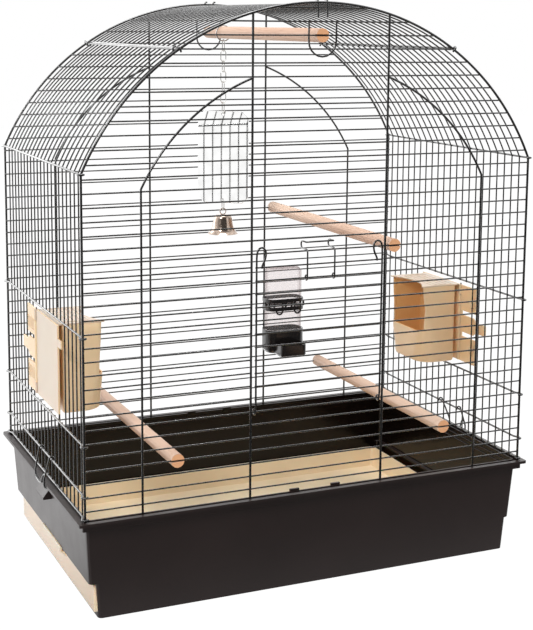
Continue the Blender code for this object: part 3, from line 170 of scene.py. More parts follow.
# Drinker
DRINKER_X = 0.1235
DRINKER_BACK_GAP = 0.030
TANK_HALF = (0.0313, 0.0173)
TANK_CORNER = 0.0123
TANK_BOTTOM = 0.130
COLLAR_WALL = 0.003
COLLAR_BOTTOM = 0.166
COLLAR_BANDS = ((0.006, 0.0125), (0.0202, 0.0262))
COLLAR_POSTS = (-0.0315, -0.022, -0.0085, -0.003, 0.008, 0.0135, 0.0315)
COLLAR_POST_WIDTH = 0.0032
COLLAR_LOOP_X = (-0.014, 0.019)
COLLAR_LOOP_RADIUS = 0.0055
COLLAR_ROW = 9
BASIN_ROW = 6
BASIN_WALL = 0.003
BASIN_BOTTOM = 0.100
BASIN_TOP = 0.139
BASIN_FOOT_INSET = 0.004
BASIN_FOOT_HEIGHT = 0.005
TROUGH_HALF = 0.023
TROUGH_LENGTH = 0.030
TROUGH_RIM = 0.119
TROUGH_CORNERS = (0.001, 0.007)
TROUGH_FOOT_INSET = 0.003
TROUGH_DROP = 0.002
ARM_SPREAD = 0.015
ARM_WIDTH = 0.006
ARM_HEIGHT = 0.009
ARM_PROUD = 0.0033

# Bell, as shares of its radius and height from the lip up
BELL_RADIUS = 0.0245
BELL_HEIGHT = 0.031
BELL_WALL = 0.001
BELL_WIRE = 0.0008
BELL_SHARES = (
    (1, 0), (0.93, 0.05), (0.8, 0.16), (0.69, 0.4),
    (0.62, 0.7), (0.57, 0.9), (0.45, 0.985), (0.15, 1),
)

# Mirror: its hanging axis, the height that the card faces, and its turn to the left
MIRROR_Y = 0.147
MIRROR_Z = 0.55
MIRROR_TURN = math.radians(-40)

# Base clips
CLIP_EYE_WRAP = math.radians(200)
CLIP_LEG_Y = (0.014, -0.043)
CLIP_FOOT_Y = (0.005, -0.045)
CLIP_FOOT_RISE = 0.005
CLIP_LOOP_Y = (0.001, -0.027, -0.032, -0.037)
CLIP_LOOP_Z = (-0.005, -0.005, 0.003, 0.012)
CLIP_HOOK_DROP = 0.0061
CLIP_HOOK_LENGTH = 0.013
CLIP_HOOK_TUCK = 0.004

# Rounded edges of the mouldings
CUP_EDGE = 0.0006
COVER_EDGE = 0.0003
FLANGE_EDGE = 0.0004
TUB_EDGE = 0.0008
TRAY_EDGE = 0.0007
COLLAR_EDGE = 0.0004
BASIN_EDGE = 0.001
MIRROR_EDGE = 0.0006
BELL_EDGE = 0.0002
NORMAL_WEIGHT = 90

# How finely round shapes are stepped
STEP = 0.009
TURN_STEPS = 10
CORNER_STEPS = 6
CUP_STEPS = 5
SCOOP_STEPS = 18
ROD_SIDES = 24
RING_STEPS = 24
RING_SIDES = 8
BELL_STEPS = 40
WIRE_ROUNDNESS = 3

# Limits for joining vertices and flat facets, and for the way that a face looks
MERGE = 0.00001
FLAT_MOULDING = math.radians(0.3)
FLAT_MIRROR = math.radians(1)
UPRIGHT = 0.7
FACING = 0.5
END_ON = 0.9

# Camera and light
CAMERA_PLACE = (-0.8034, -1.8621, 0.7933)
CAMERA_YAW = -0.4215
CAMERA_PITCH = -0.1494
CAMERA_ROLL = 0.0092
FOCAL_PIXELS = 1351.5
PHOTO_HEIGHT = 630
SENSOR = 36
SHIFT = (-0.018, -0.1415)
CAMERA_REACH = 50
SKY_LEVEL = 0.55
FLOOR_HALF = 8
FLOOR_WHITE = 0.9
FLOOR_GLOW = 1.05
FLOOR_SHARE = 0.96
SKY_SPREAD = (-0.4, 0.6)
FLOOR_SPREAD = (-0.45, 0.2)
MIRRORED_FLOOR = (0.07, 1.7)
MIRRORED_SKY = (0.1, 1.7)
BRIGHTER_ABOVE = 0.8
CARD_PLACE = (-1.32, -0.67, 0.41)
CARD_SIZE = (0.6, 0.8)
CARD_GLOW = 1.05
# Each lamp's name, place, target, size and power, and whether it lights gloss alone
LAMPS = (
    ("key", (-2.2, -1.6, 2.4), (0, 0, 0.4), 0.7, 50, False),
    ("fill", (2.2, -2.4, 1.6), (0, 0, 0.4), 2.0, 14, False),
    ("top", (0, 0.1, 2.8), (0, 0, 0.2), 1.2, 42, False),
    ("edge", (-1.5, 2.1, 1.2), (-0.3, 0, 0.4), 1.9, 30, True),
)

X = Vector((1, 0, 0))
Y = Vector((0, 1, 0))
Z = Vector((0, 0, 1))
HALF_X = PANEL_LENGTH / 2
HALF_Y = PANEL_DEPTH / 2
RIM_Z = BASE_HEIGHT
FOOT_Z = RIM_Z - GROOVE_DEPTH + CLEARANCE
SPRING_Z = RIM_Z + WALL_HEIGHT
ARCH_RADIUS = (HALF_X**2 + ARCH_RISE**2) / (2 * ARCH_RISE)
ARCH_CENTRE_Z = SPRING_Z + ARCH_RISE - ARCH_RADIUS
ROOF_RADIUS = ARCH_RADIUS - SIDE_INSET
SIDE_X = HALF_X - SIDE_INSET
SIDE_PITCH = PANEL_DEPTH / SIDE_GAPS
ROW_Y = HALF_Y - FRAME_WIRE - ROW_WIRE + WELD
ROW_COUNT = int((WALL_HEIGHT + ARCH_RISE - TOP_ROW_MARGIN - FIRST_ROW) / ROW_PITCH) + 1
BAR_OUT = ROW_WIRE + BAR_WIRE - WELD
BAR_X = SIDE_X + BAR_OUT
HOOK_OFFSET = BAR_OUT - SIDE_INSET
LID_ANGLE = math.asin(LID_HALF_LENGTH / ARCH_RADIUS)
LID_ROD_ANGLE = LID_ANGLE - (2 * BAR_WIRE + CLEARANCE) / ROOF_RADIUS
RIM_X = HALF_X + RIM_MARGIN
RIM_Y = HALF_Y + RIM_MARGIN
DRINKER_Y = HALF_Y - DRINKER_BACK_GAP
DOOR_X = CENTRE_STAY_X - DOOR_SIDE_GAP
DOOR_SIDE_Y = HALF_Y + DOOR_STANDOFF
DOOR_ROW_Y = DOOR_SIDE_Y - DOOR_WIRE - ROW_WIRE + WELD


# Materials


def put(tree, socket, value):
    """Links a socket to another one, or sets it to a plain value."""
    if isinstance(value, bpy.types.NodeSocket):
        tree.links.new(value, socket)
    else:
        socket.default_value = value


def feed(tree, made, **inputs):
    """A node with some of its sockets set or linked, by name."""
    for name, value in inputs.items():
        put(tree, made.inputs[name.replace("_", " ")], value)
    return made


def new_node(tree, kind, **inputs):
    """A new shader node."""
    return feed(tree, tree.nodes.new(kind), **inputs)


def maths(tree, operation, *values):
    """A maths node on sockets or plain numbers."""
    made = new_node(tree, "ShaderNodeMath")
    made.operation = operation
    for socket, value in zip(made.inputs, values):
        put(tree, socket, value)
    return made.outputs[0]


def mixed(tree, share, first, second):
    """The surface of a material, as a mix of two shaders."""
    mix = new_node(tree, "ShaderNodeMixShader", Fac=share)
    tree.links.new(first.outputs[0], mix.inputs[1])
    tree.links.new(second.outputs[0], mix.inputs[2])
    tree.links.new(mix.outputs[0], tree.nodes["Material Output"].inputs["Surface"])


class Look:
    """A Principled material with helpers for its procedural detail."""

    def __init__(self, name, colour, roughness, **sockets):
        self.material = bpy.data.materials.new(name)
        self.material.use_nodes = True
        self.tree = self.material.node_tree
        self.shader = self.tree.nodes["Principled BSDF"]
        self.colour = colour
        self.coordinates = self.node("ShaderNodeTexCoord").outputs
        self.finish(Base_Color=(*colour, 1), Roughness=roughness, **sockets)

    def node(self, kind, **inputs):
        return new_node(self.tree, kind, **inputs)

    def finish(self, **sockets):
        """Feeds sockets of the shader."""
        feed(self.tree, self.shader, **sockets)

    def noise(self, scale, detail=3.0, stretch=(1, 1, 1)):
        """A soft pattern all through the piece."""
        mapping = self.node("ShaderNodeMapping", Scale=stretch, Vector=self.coordinates["Object"])
        place = mapping.outputs["Vector"]
        made = self.node("ShaderNodeTexNoise", Scale=scale, Detail=detail, Vector=place)
        return made.outputs["Fac"]

    def colours(self, source, stops):
        """Colours that blend along a source."""
        made = self.node("ShaderNodeValToRGB", Fac=source)
        ramp = made.color_ramp
        while len(ramp.elements) < len(stops):
            ramp.elements.new(0.5)
        for element, (place, colour) in zip(ramp.elements, stops):
            element.position = place
            element.color = (*colour, 1)
        return made.outputs["Color"]

    def tint(self, source, spread):
        """Base colour that drifts darker and lighter by a share."""
        low = tuple(c * (1 - spread) for c in self.colour)
        high = tuple(min(c * (1 + spread), 1) for c in self.colour)
        self.finish(Base_Color=self.colours(source, ((0.3, low), (0.7, high))))

    def rough(self, source, low, high):
        """Roughness that drifts between two values."""
        level = self.node("ShaderNodeMapRange", To_Min=low, To_Max=high, Value=source)
        self.finish(Roughness=level.outputs["Result"])

    def bump(self, source, strength, distance):
        """Fine relief that only light shows."""
        relief = self.node("ShaderNodeBump", Strength=strength, Distance=distance, Height=source)
        self.finish(Normal=relief.outputs["Normal"])


def wire_enamel():
    """Black enamel with a coat of gloss."""
    look = Look(
        "wire_enamel", (0.003, 0.0028, 0.0028), 0.3,
        Specular_IOR_Level=0.7, Coat_Weight=0.5, Coat_Roughness=0.12,
    )
    look.rough(look.noise(160), 0.2, 0.34)
    look.bump(look.noise(900, 2), 0.06, 0.0002)
    look.tint(look.noise(40), 0.3)
    return look.material


def moulded(name, colour, low, high, spread, **sockets):
    """Moulded plastic with a fine spark-eroded grain and a slow drift of gloss."""
    look = Look(name, colour, low, **sockets)
    look.tint(look.noise(9), spread)
    look.rough(look.noise(30), low, high)
    look.bump(look.noise(1400, 2), 0.08, 0.0002)
    return look.material


def turned_wood():
    """Pale beech: long grain along the dowel, darker and warmer on its sawn ends."""
    look = Look("perch_wood", (0.62, 0.41, 0.30), 0.55)
    side = look.colours(look.noise(26, 5, (1, 0.06, 1)), (
        (0.25, (0.46, 0.26, 0.17)), (0.45, (0.59, 0.38, 0.27)),
        (0.6, (0.64, 0.445, 0.33)), (0.8, (0.70, 0.53, 0.41)),
    ))
    facing = look.node("ShaderNodeSeparateXYZ", Vector=look.coordinates["Normal"])
    along = maths(look.tree, "ABSOLUTE", facing.outputs["Y"])
    end = maths(look.tree, "GREATER_THAN", along, END_ON)
    mix = look.node("ShaderNodeMix")
    mix.data_type = "RGBA"
    feed(look.tree, mix, Factor=end, A=side, B=(0.66, 0.33, 0.16, 1))
    look.finish(Base_Color=mix.outputs["Result"])
    look.bump(look.noise(120, 4, (1, 0.05, 1)), 0.25, 0.0004)
    look.rough(look.noise(60, 3, (1, 0.1, 1)), 0.45, 0.68)
    return look.material


def clear_plastic():
    """Thin clear plastic: a faint tint that deepens where the wall is seen edge on."""
    look = Look("clear_plastic", (0.9, 0.87, 0.87), 0.06)
    look.rough(look.noise(35, 2), 0.04, 0.1)
    facing = look.node("ShaderNodeLayerWeight", Blend=0.35)
    tint = look.colours(facing.outputs["Facing"], (
        (0.35, (0.97, 0.955, 0.955)), (0.95, (0.5, 0.44, 0.44)),
    ))
    through = look.node("ShaderNodeBsdfTransparent", Color=tint)
    mixed(look.tree, 0.05, through, look.shader)
    return look.material


def bright_metal(name, colour, low, high, dents):
    """Plated metal with fine dents."""
    look = Look(name, colour, low, Metallic=1.0)
    look.rough(look.noise(220, 3), low, high)
    look.bump(look.noise(300, 2), dents, 0.0002)
    look.tint(look.noise(70), 0.08)
    return look.material


WIRE = wire_enamel()
BASE = moulded("base_plastic", (0.018, 0.0105, 0.0095), 0.34, 0.46, 0.1, Specular_IOR_Level=0.4)
# Painted shade: a darker, glossier copy of the base plastic for the tub's inner faces, where the
# cage and the rim shade them
BASE_PAINTED_SHADE = moulded(
    "base_painted_shade", (0.0045, 0.0025, 0.002), 0.16, 0.24, 0.1, Specular_IOR_Level=0.25
)
CREAM = moulded("cream_plastic", (0.80, 0.55, 0.33), 0.3, 0.42, 0.03, Subsurface_Weight=0.15)
# Painted light: a paler, pinker copy of the cream plastic for the cup's outer plate and the cover,
# as lit faces look
CREAM_PAINTED_LIGHT = moulded("cream_painted_light", (0.60, 0.45, 0.335), 0.26, 0.38, 0.03, Subsurface_Weight=0.15)
# Painted shade: a deeper, more golden copy of the cream plastic for the shaded hollow of the cup
CREAM_PAINTED_SHADE = moulded("cream_painted_shade", (0.86, 0.53, 0.23), 0.34, 0.46, 0.06)
TRAY = moulded("tray_plastic", (0.95, 0.74, 0.51), 0.3, 0.42, 0.03, Subsurface_Weight=0.15)
# Painted light: a paler, pinker copy of the tray plastic for the drawer's front, which the key
# lamp lights
TRAY_PAINTED_LIGHT = moulded("tray_painted_light", (0.68, 0.535, 0.40), 0.3, 0.42, 0.03, Subsurface_Weight=0.15)
BLACK = moulded("black_plastic", (0.012, 0.0105, 0.0105), 0.1, 0.2, 0.1)
CLEAR = clear_plastic()
WOOD = turned_wood()
STEEL = bright_metal("nickel_wire", (0.56, 0.55, 0.53), 0.16, 0.3, 0.06)
BRONZE = bright_metal("bell_metal", (0.44, 0.35, 0.29), 0.14, 0.2, 0.02)
MIRROR = bright_metal("mirror_plate", (0.95, 0.95, 0.945), 0.02, 0.03, 0)

# The looks of a cup, by their place among its materials: the plain cream, a copy with painted
# light and a copy with painted shade
CUP_LOOKS = (CREAM, CREAM_PAINTED_LIGHT, CREAM_PAINTED_SHADE)
CUP_PLAIN, CUP_PAINTED_LIGHT, CUP_PAINTED_SHADE = range(3)


# Geometry helpers


def add_object(name, data):
    made = bpy.data.objects.new(name, data)
    bpy.context.scene.collection.objects.link(made)
    return made


def evenly(start, stop, steps):
    """Values from start to stop in equal steps, with both ends."""
    return [start + (stop - start) * i / steps for i in range(steps + 1)]


def arc(centre, radius, start, stop, across, up):
    """Points on a circle, stepped finely enough for its length."""
    steps = max(TURN_STEPS, int(radius * abs(stop - start) / STEP))
    return [
        centre + radius * (math.cos(a) * across + math.sin(a) * up)
        for a in evenly(start, stop, steps)
    ]


def smooth(path, rounds=3):
    """Cuts the corners of a bent wire into a curve that keeps its ends."""
    for _ in range(rounds):
        cut = [path[0]]
        for a, b in zip(path, path[1:]):
            cut.append(a.lerp(b, 0.25))
            cut.append(a.lerp(b, 0.75))
        cut.append(path[-1])
        path = cut
    return path


def wires(name, groups, body, replaced):
    """One curve object with a round wire along each path of each (radius, paths) group."""
    line = bpy.data.curves.new(name, "CURVE")
    line.dimensions = "3D"
    line.twist_mode = "MINIMUM"
    line.bevel_depth = 1
    line.bevel_resolution = WIRE_ROUNDNESS
    line.use_fill_caps = True
    for radius, paths in groups:
        for path in paths:
            spline = line.splines.new("POLY")
            spline.points.add(len(path) - 1)
            for point, place in zip(spline.points, path):
                point.co = (*place, 1)
                point.radius = radius
    line.materials.append(WIRE)
    made = add_object(name, line)
    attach(made, body)
    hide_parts(replaced)


def plain_copy(node, flat):
    """A node's solid with its facets joined where they are flat together."""
    shape = bmesh.new()
    shape.from_mesh(frame["nodes"][node].data)
    bmesh.ops.remove_doubles(shape, verts=shape.verts, dist=MERGE)
    bmesh.ops.dissolve_limit(shape, angle_limit=flat, verts=shape.verts, edges=shape.edges)
    return shape


def softened(node, body, looks, width, second):
    """A solid with its edges rounded, in the second look where a test of a face says so: the
    second look is painted shade on the tub and painted light on the tray.
    """
    shape = plain_copy(node, FLAT_MOULDING)
    for face in shape.faces:
        face.material_index = int(second(face.calc_center_median(), face.normal))
    moulding(node, shape, body, looks, width, angle=25)


def takes_painted_shade(place, normal):
    """Whether a face of the tub looks inwards, and so takes the painted shade."""
    inward = place.x * normal.x * RIM_Y / RIM_X + place.y * normal.y * RIM_X / RIM_Y < 0
    within = abs(place.x) < RIM_X - RIM_FLANGE and abs(place.y) < RIM_Y - RIM_FLANGE
    return inward and within and abs(normal.z) < UPRIGHT


def takes_painted_light(place, normal):
    """Whether a face of the tray belongs to its outer front, and so takes the painted light."""
    return normal.x < -FACING and place.x < 2 * RIM_FLANGE - RIM_X


def moulding(node, shape, body, looks, width, angle=30, segments=2):
    """A piece in place of a node, with rounded edges and flat-looking faces."""
    mesh = bpy.data.meshes.new(node)
    shape.to_mesh(mesh)
    shape.free()
    for look in looks:
        mesh.materials.append(look)
    made = add_object(node + "_moulded", mesh)
    mesh.shade_smooth()
    bevel = made.modifiers.new("edges", "BEVEL")
    bevel.width = width
    bevel.segments = segments
    bevel.limit_method = "ANGLE"
    bevel.angle_limit = math.radians(angle)
    normals = made.modifiers.new("normals", "WEIGHTED_NORMAL")
    normals.weight = NORMAL_WEIGHT
    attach(made, body)
    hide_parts(node)


def box(shape, low, high):
    """Adds a box between two corners."""
    size = [b - a for a, b in zip(low, high)]
    middle = Vector([(a + b) / 2 for a, b in zip(low, high)])
    place = Matrix.Translation(middle) @ Matrix.Diagonal((*size, 1))
    bmesh.ops.create_cube(shape, size=1, matrix=place)


def rod(shape, centre, radius, length):
    """Adds an upright cylinder."""
    bmesh.ops.create_cone(
        shape, cap_ends=True, segments=ROD_SIDES, radius1=radius, radius2=radius, depth=length,
        matrix=Matrix.Translation(centre),
    )


def circle(steps):
    """Angles once round, without the last, which is the first again."""
    return evenly(0, 2 * math.pi, steps)[:-1]


def plan(low, high, radii):
    """Points round a rectangle with rounded corners, anticlockwise from its corner at +X +Y."""
    points = []
    for quarter, ((sx, sy), radius) in enumerate(zip(((1, 1), (-1, 1), (-1, -1), (1, -1)), radii)):
        x = (high if sx > 0 else low)[0] - sx * radius
        y = (high if sy > 0 else low)[1] - sy * radius
        start = quarter * math.pi / 2
        for a in evenly(start, start + math.pi / 2, CORNER_STEPS):
            points.append((x + radius * math.cos(a), y + radius * math.sin(a)))
    return points


def skin(shape, rings, looped=False):
    """Adds faces between rings of points, closed over the ends or looped back to the first."""
    rows = [[shape.verts.new(p) for p in ring] for ring in rings]
    for lower, upper in zip(rows, rows[1:] + rows[:1] if looped else rows[1:]):
        for i in range(len(lower)):
            after = (i + 1) % len(lower)
            shape.faces.new((lower[i], lower[after], upper[after], upper[i]))
    if not looped:
        shape.faces.new(list(reversed(rows[0])))
        shape.faces.new(rows[-1])


def ringlet(shape, centre, radius, wire, across, up):
    """Adds a round ring of round wire."""
    side = across.cross(up)
    rings = []
    for t in circle(RING_STEPS):
        out = math.cos(t) * across + math.sin(t) * up
        rings.append([
            centre + out * (radius + wire * math.cos(b)) + wire * math.sin(b) * side
            for b in circle(RING_SIDES)
        ])
    skin(shape, rings, looped=True)


def prism(shape, outline, place, low, high):
    """Adds a flat outline pushed through from low to high, its points placed by a function."""
    skin(shape, [[place(a, b, depth) for a, b in outline] for depth in (low, high)])


def finished(shape):
    """A shape with all its faces turned outwards."""
    bmesh.ops.recalc_face_normals(shape, faces=shape.faces)
    return shape


def row_z(row):
    return RIM_Z + FIRST_ROW + row * ROW_PITCH


def side_wire_y(wire):
    """Place of an upright side wire, counted from the front post."""
    return wire * SIDE_PITCH - HALF_Y


def on_roof(radius, angle, y):
    """A point over the arch's centre, by its angle from the top towards +X."""
    return Vector((radius * math.sin(angle), y, ARCH_CENTRE_Z + radius * math.cos(angle)))


def roof_arc(radius, start, stop, y):
    """Points along the roof between two angles."""
    steps = max(2, int(radius * abs(stop - start) / STEP))
    return [on_roof(radius, a, y) for a in evenly(start, stop, steps)]


# Wire panels


def outer_frame(y):
    """Both corner posts and the arch between them."""
    half = math.atan2(HALF_X, SPRING_Z - ARCH_CENTRE_Z)
    arch = roof_arc(ARCH_RADIUS, -half, half, y)
    return [Vector((-HALF_X, y, FOOT_Z)), *arch, Vector((HALF_X, y, FOOT_Z))]


def side_stay(side, y):
    """Stay that bends over into the inner arc as far as the centre stay."""
    foot = Vector((side * SIDE_STAY_X, y, FOOT_Z))
    start = side * math.asin(SIDE_STAY_X / INNER_ARC_RADIUS)
    stop = side * math.asin((CENTRE_STAY_X - WELD) / INNER_ARC_RADIUS)
    return [foot, *roof_arc(INNER_ARC_RADIUS, start, stop, y)]


def centre_stay(side, y):
    x = side * CENTRE_STAY_X
    top = ARCH_CENTRE_Z + math.sqrt(ARCH_RADIUS**2 - x**2)
    return [Vector((x, y, FOOT_Z)), Vector((x, y, top))]


def crown_loop(y):
    """Loop that hangs from a high row."""
    top = row_z(CROWN_LOOP_ROW) + OVERRUN
    bend = Vector((0, y, top - CROWN_LOOP_DROP + CROWN_LOOP_X))
    turn = arc(bend, CROWN_LOOP_X, math.pi, 2 * math.pi, X, Z)
    return [Vector((-CROWN_LOOP_X, y, top)), *turn, Vector((CROWN_LOOP_X, y, top))]


def crown_stays(y):
    """Two short stays that hook inwards over the arch."""
    top = ARCH_CENTRE_Z + math.sqrt(ARCH_RADIUS**2 - CROWN_STAY_X**2)
    inward = math.copysign(CROWN_HOOK_LENGTH, -y)
    rise = top + CROWN_HOOK_RISE
    return [
        smooth([
            Vector((x, y, top - CROWN_STAY_LENGTH)),
            Vector((x, y, rise)),
            Vector((x, y + inward, rise)),
        ])
        for x in (-CROWN_STAY_X, CROWN_STAY_X)
    ]


def panel_rows(y, doorway):
    """Rows from frame to frame, open between the centre stays at the doorway."""
    paths = []
    for row in range(ROW_COUNT):
        z = row_z(row)
        end = HALF_X + OVERRUN
        if z > SPRING_Z:
            end = math.sqrt(ARCH_RADIUS**2 - (z - ARCH_CENTRE_Z) ** 2) + OVERRUN
        spans = [(-end, end)]
        if doorway and DOOR_ROWS[0] <= row <= DOOR_ROWS[1]:
            spans = [(-end, OVERRUN - CENTRE_STAY_X), (CENTRE_STAY_X - OVERRUN, end)]
        paths += [[Vector((x, y, z)) for x in span] for span in spans]
    return paths


def wall_panel(name, side, doorway):
    y = side * HALF_Y
    wires(name + "_wires", [
        (FRAME_WIRE, [outer_frame(y)]),
        (SIDE_STAY_WIRE, [side_stay(s, y) for s in (-1, 1)]),
        (CENTRE_STAY_WIRE, [centre_stay(s, y) for s in (-1, 1)]),
        (BENT_WIRE, [*crown_stays(y), crown_loop(y)]),
        (ROW_WIRE, panel_rows(side * ROW_Y, doorway)),
    ], "cage", name)


def hooked_bar(post, outward, hook_run=HOOK_RUN):
    """Bar along Y that hooks round the outside of a post or arch at both ends."""
    radius = FRAME_WIRE + HOOK_CLEARANCE + BAR_WIRE
    halves = []
    for side in (-1, 1):
        end = Vector((post.x, side * HALF_Y, post.z))
        run = end + HOOK_OFFSET * outward - side * hook_run * Y
        halves.append([run, *arc(end, radius, 0, HOOK_WRAP, outward, side * Y)])
    return [*reversed(halves[0]), *halves[1]]


def side_panel(name, side, first_cut):
    """Side wires that bend over into the roof, cut at the feeder, on their bars."""
    paths = []
    spring = math.asin(SIDE_X / ROOF_RADIUS)
    stop = LID_ANGLE - OVERRUN / ROOF_RADIUS
    for wire in range(1, SIDE_GAPS):
        y = side_wire_y(wire)
        foot = Vector((side * SIDE_X, y, RIM_Z + BAR_HEIGHTS[0] - OVERRUN))
        if first_cut < wire < first_cut + FEEDER_WIRES:
            paths.append([foot, Vector((foot.x, y, RIM_Z + BAR_HEIGHTS[2] + OVERRUN))])
            foot = Vector((foot.x, y, RIM_Z + BAR_HEIGHTS[3] - OVERRUN))
        paths.append([foot, *roof_arc(ROOF_RADIUS, side * spring, side * stop, y)])
    bars = [
        hooked_bar(Vector((side * HALF_X, 0, z)), side * X)
        for z in [RIM_Z + h for h in BAR_HEIGHTS] + [SPRING_Z]
    ]
    out = on_roof(1, side * LID_ANGLE, 0) - ARCH_CENTRE_Z * Z
    roof_post = on_roof(ARCH_RADIUS, side * LID_ANGLE, 0)
    bars.append(hooked_bar(roof_post, out, ROOF_HOOK_RUN))
    wires(name + "_wires", [(ROW_WIRE, paths), (BAR_WIRE, bars)], "cage", name)


def lid_frame(side, angle):
    """A bar's centre on the roof, the way out from there and the way down the roof."""
    centre = on_roof(ROOF_RADIUS + BAR_OUT, side * angle, 0)
    out = (centre - ARCH_CENTRE_Z * Z).normalized()
    return centre, out, side * Y.cross(out)


def roof_lid():
    """Ribs between two rods, with eyes round the left roof bar and catches over the right one."""
    ys = [side_wire_y(wire) + SIDE_PITCH / 2 for wire in range(SIDE_GAPS)]
    stop = LID_ROD_ANGLE + WELD / ROOF_RADIUS
    ribs = [roof_arc(ROOF_RADIUS, -stop, stop, y) for y in ys]
    end_y = ys[-1] + OVERRUN
    rods = []
    for side in (-1, 1):
        centre = lid_frame(side, LID_ROD_ANGLE)[0]
        rods.append([centre - end_y * Y, centre + end_y * Y])
    radius = BAR_WIRE + HOOK_CLEARANCE + BENT_WIRE
    eyes = []
    catches = []
    for y in (ys[0] + SIDE_PITCH / 4, ys[-1] - SIDE_PITCH / 4):
        centre, out, down = lid_frame(-1, LID_ANGLE)
        eyes.append(arc(centre + y * Y, radius, 0, 2 * math.pi, out, down))
        centre, out, down = lid_frame(1, LID_ANGLE)
        catches.append(arc(centre + y * Y, radius, CATCH_OPENING, math.pi, down, out))
    groups = [(ROW_WIRE, ribs), (BAR_WIRE, rods), (BENT_WIRE, eyes + catches)]
    wires("roof_lid_wires", groups, "roof_lid", "roof_lid")


# Door, latch and base clips


def eye_round(centre, radius):
    """Open eye about a wire along X."""
    return arc(centre, radius, 0, EYE_WRAP, -Y, -Z)


def front_door():
    """Rows between two stiles, each with a spring loop on top and an eye round the hinge row."""
    hinge_z = row_z(HINGE_ROW)
    rail_z = row_z(DOOR_ROWS[1])
    eye_radius = ROW_WIRE + EYE_CLEARANCE + DOOR_WIRE
    stiles = []
    for side in (-1, 1):
        x = side * DOOR_X
        loop = [
            Vector((
                side * (DOOR_X - across * DOOR_LOOP_WIDTH),
                -DOOR_SIDE_Y,
                rail_z + up * DOOR_LOOP_HEIGHT,
            ))
            for across, up in DOOR_LOOP_SHARES
        ]
        tail = loop[-1] - (OVERRUN + DOOR_LOOP_SHARES[-1][1] * DOOR_LOOP_HEIGHT) * Z
        jog = Vector((x, -DOOR_SIDE_Y, hinge_z + DOOR_EYE_JOG))
        bend = smooth([tail, *reversed(loop), loop[0].lerp(jog, BEND_SHARE)])
        eye = eye_round(Vector((x, -ROW_Y, hinge_z)), eye_radius)
        stiles.append([*bend, jog, *eye])
    end = DOOR_X + OVERRUN
    rows = [
        [Vector((x, -DOOR_ROW_Y, row_z(row))) for x in (-end, end)]
        for row in range(DOOR_ROWS[0], DOOR_ROWS[1] + 1)
    ]
    groups = [(DOOR_WIRE, stiles), (ROW_WIRE, rows)]
    wires("front_door_wires", groups, "front_door", "front_door")


def door_latch():
    """One wire from eye to eye: up from a door row, in over the catch row and back in a curl."""
    axis = Vector((0, -DOOR_ROW_Y, row_z(LATCH_PIVOT_ROW)))
    eye_radius = ROW_WIRE + EYE_CLEARANCE + LATCH_WIRE
    arm_z = row_z(CATCH_ROW) + ROW_WIRE + CLEARANCE + LATCH_WIRE
    leg_y = axis.y - eye_radius
    bend = LATCH_CURL / 2
    halves = []
    for side in (-1, 1):
        x = side * LATCH_HALF_WIDTH
        eye = eye_round(Vector((x, axis.y, axis.z)), eye_radius)
        lower = arc(Vector((x, leg_y + bend, arm_z - bend)), bend, math.pi, math.pi / 2, Y, Z)
        curl = arc(
            Vector((x, LATCH_REACH - ROW_Y - bend, arm_z + bend)),
            bend, -math.pi / 2, math.pi / 2, Y, Z,
        )
        grip = Vector((x, leg_y + bend, arm_z + LATCH_CURL))
        halves.append([*reversed(eye), *lower, *curl, grip])
    path = [*halves[0], *reversed(halves[1])]
    wires("door_latch_wire", [(LATCH_WIRE, [path])], "door_latch", "door_latch")


def base_clip(name, side):
    """Bent wire on the lower side bar: a leg with the finger loop and a leg with the hook."""
    bar_z = RIM_Z + BAR_HEIGHTS[1]
    eye_radius = BAR_WIRE + EYE_CLEARANCE + BENT_WIRE
    edge = side * (RIM_X + CLEARANCE + BENT_WIRE)
    eyes = [
        arc(Vector((side * BAR_X, y, bar_z)), eye_radius, CLIP_EYE_WRAP, 0, side * X, Z)
        for y in CLIP_LEG_Y
    ]
    feet = [Vector((edge, y, RIM_Z + CLIP_FOOT_RISE)) for y in CLIP_FOOT_Y]
    loop = [Vector((edge, y, RIM_Z + z)) for y, z in zip(CLIP_LOOP_Y, CLIP_LOOP_Z)]
    eye_end, foot = eyes[1][-1], feet[1]
    weld = eye_end.lerp(foot, (eye_end.z - loop[-1].z) / (eye_end.z - foot.z))
    loop[-1].x = weld.x
    hook_z = RIM_Z - CLIP_HOOK_DROP
    hook = [
        Vector((edge, foot.y, hook_z + 2 * BENT_WIRE)),
        Vector((edge - side * WELD, foot.y - 2 * BENT_WIRE, hook_z)),
        Vector((edge - side * CLIP_HOOK_TUCK, foot.y - CLIP_HOOK_LENGTH, hook_z)),
    ]
    pull = [*eyes[0], *smooth([feet[0].lerp(eyes[0][-1], BEND_SHARE), feet[0], *loop, weld])]
    catch = [*eyes[1], *smooth([foot.lerp(eye_end, BEND_SHARE), foot, *hook])]
    wires(name + "_wire", [(BENT_WIRE, [pull, catch])], name, name)


# Feeders


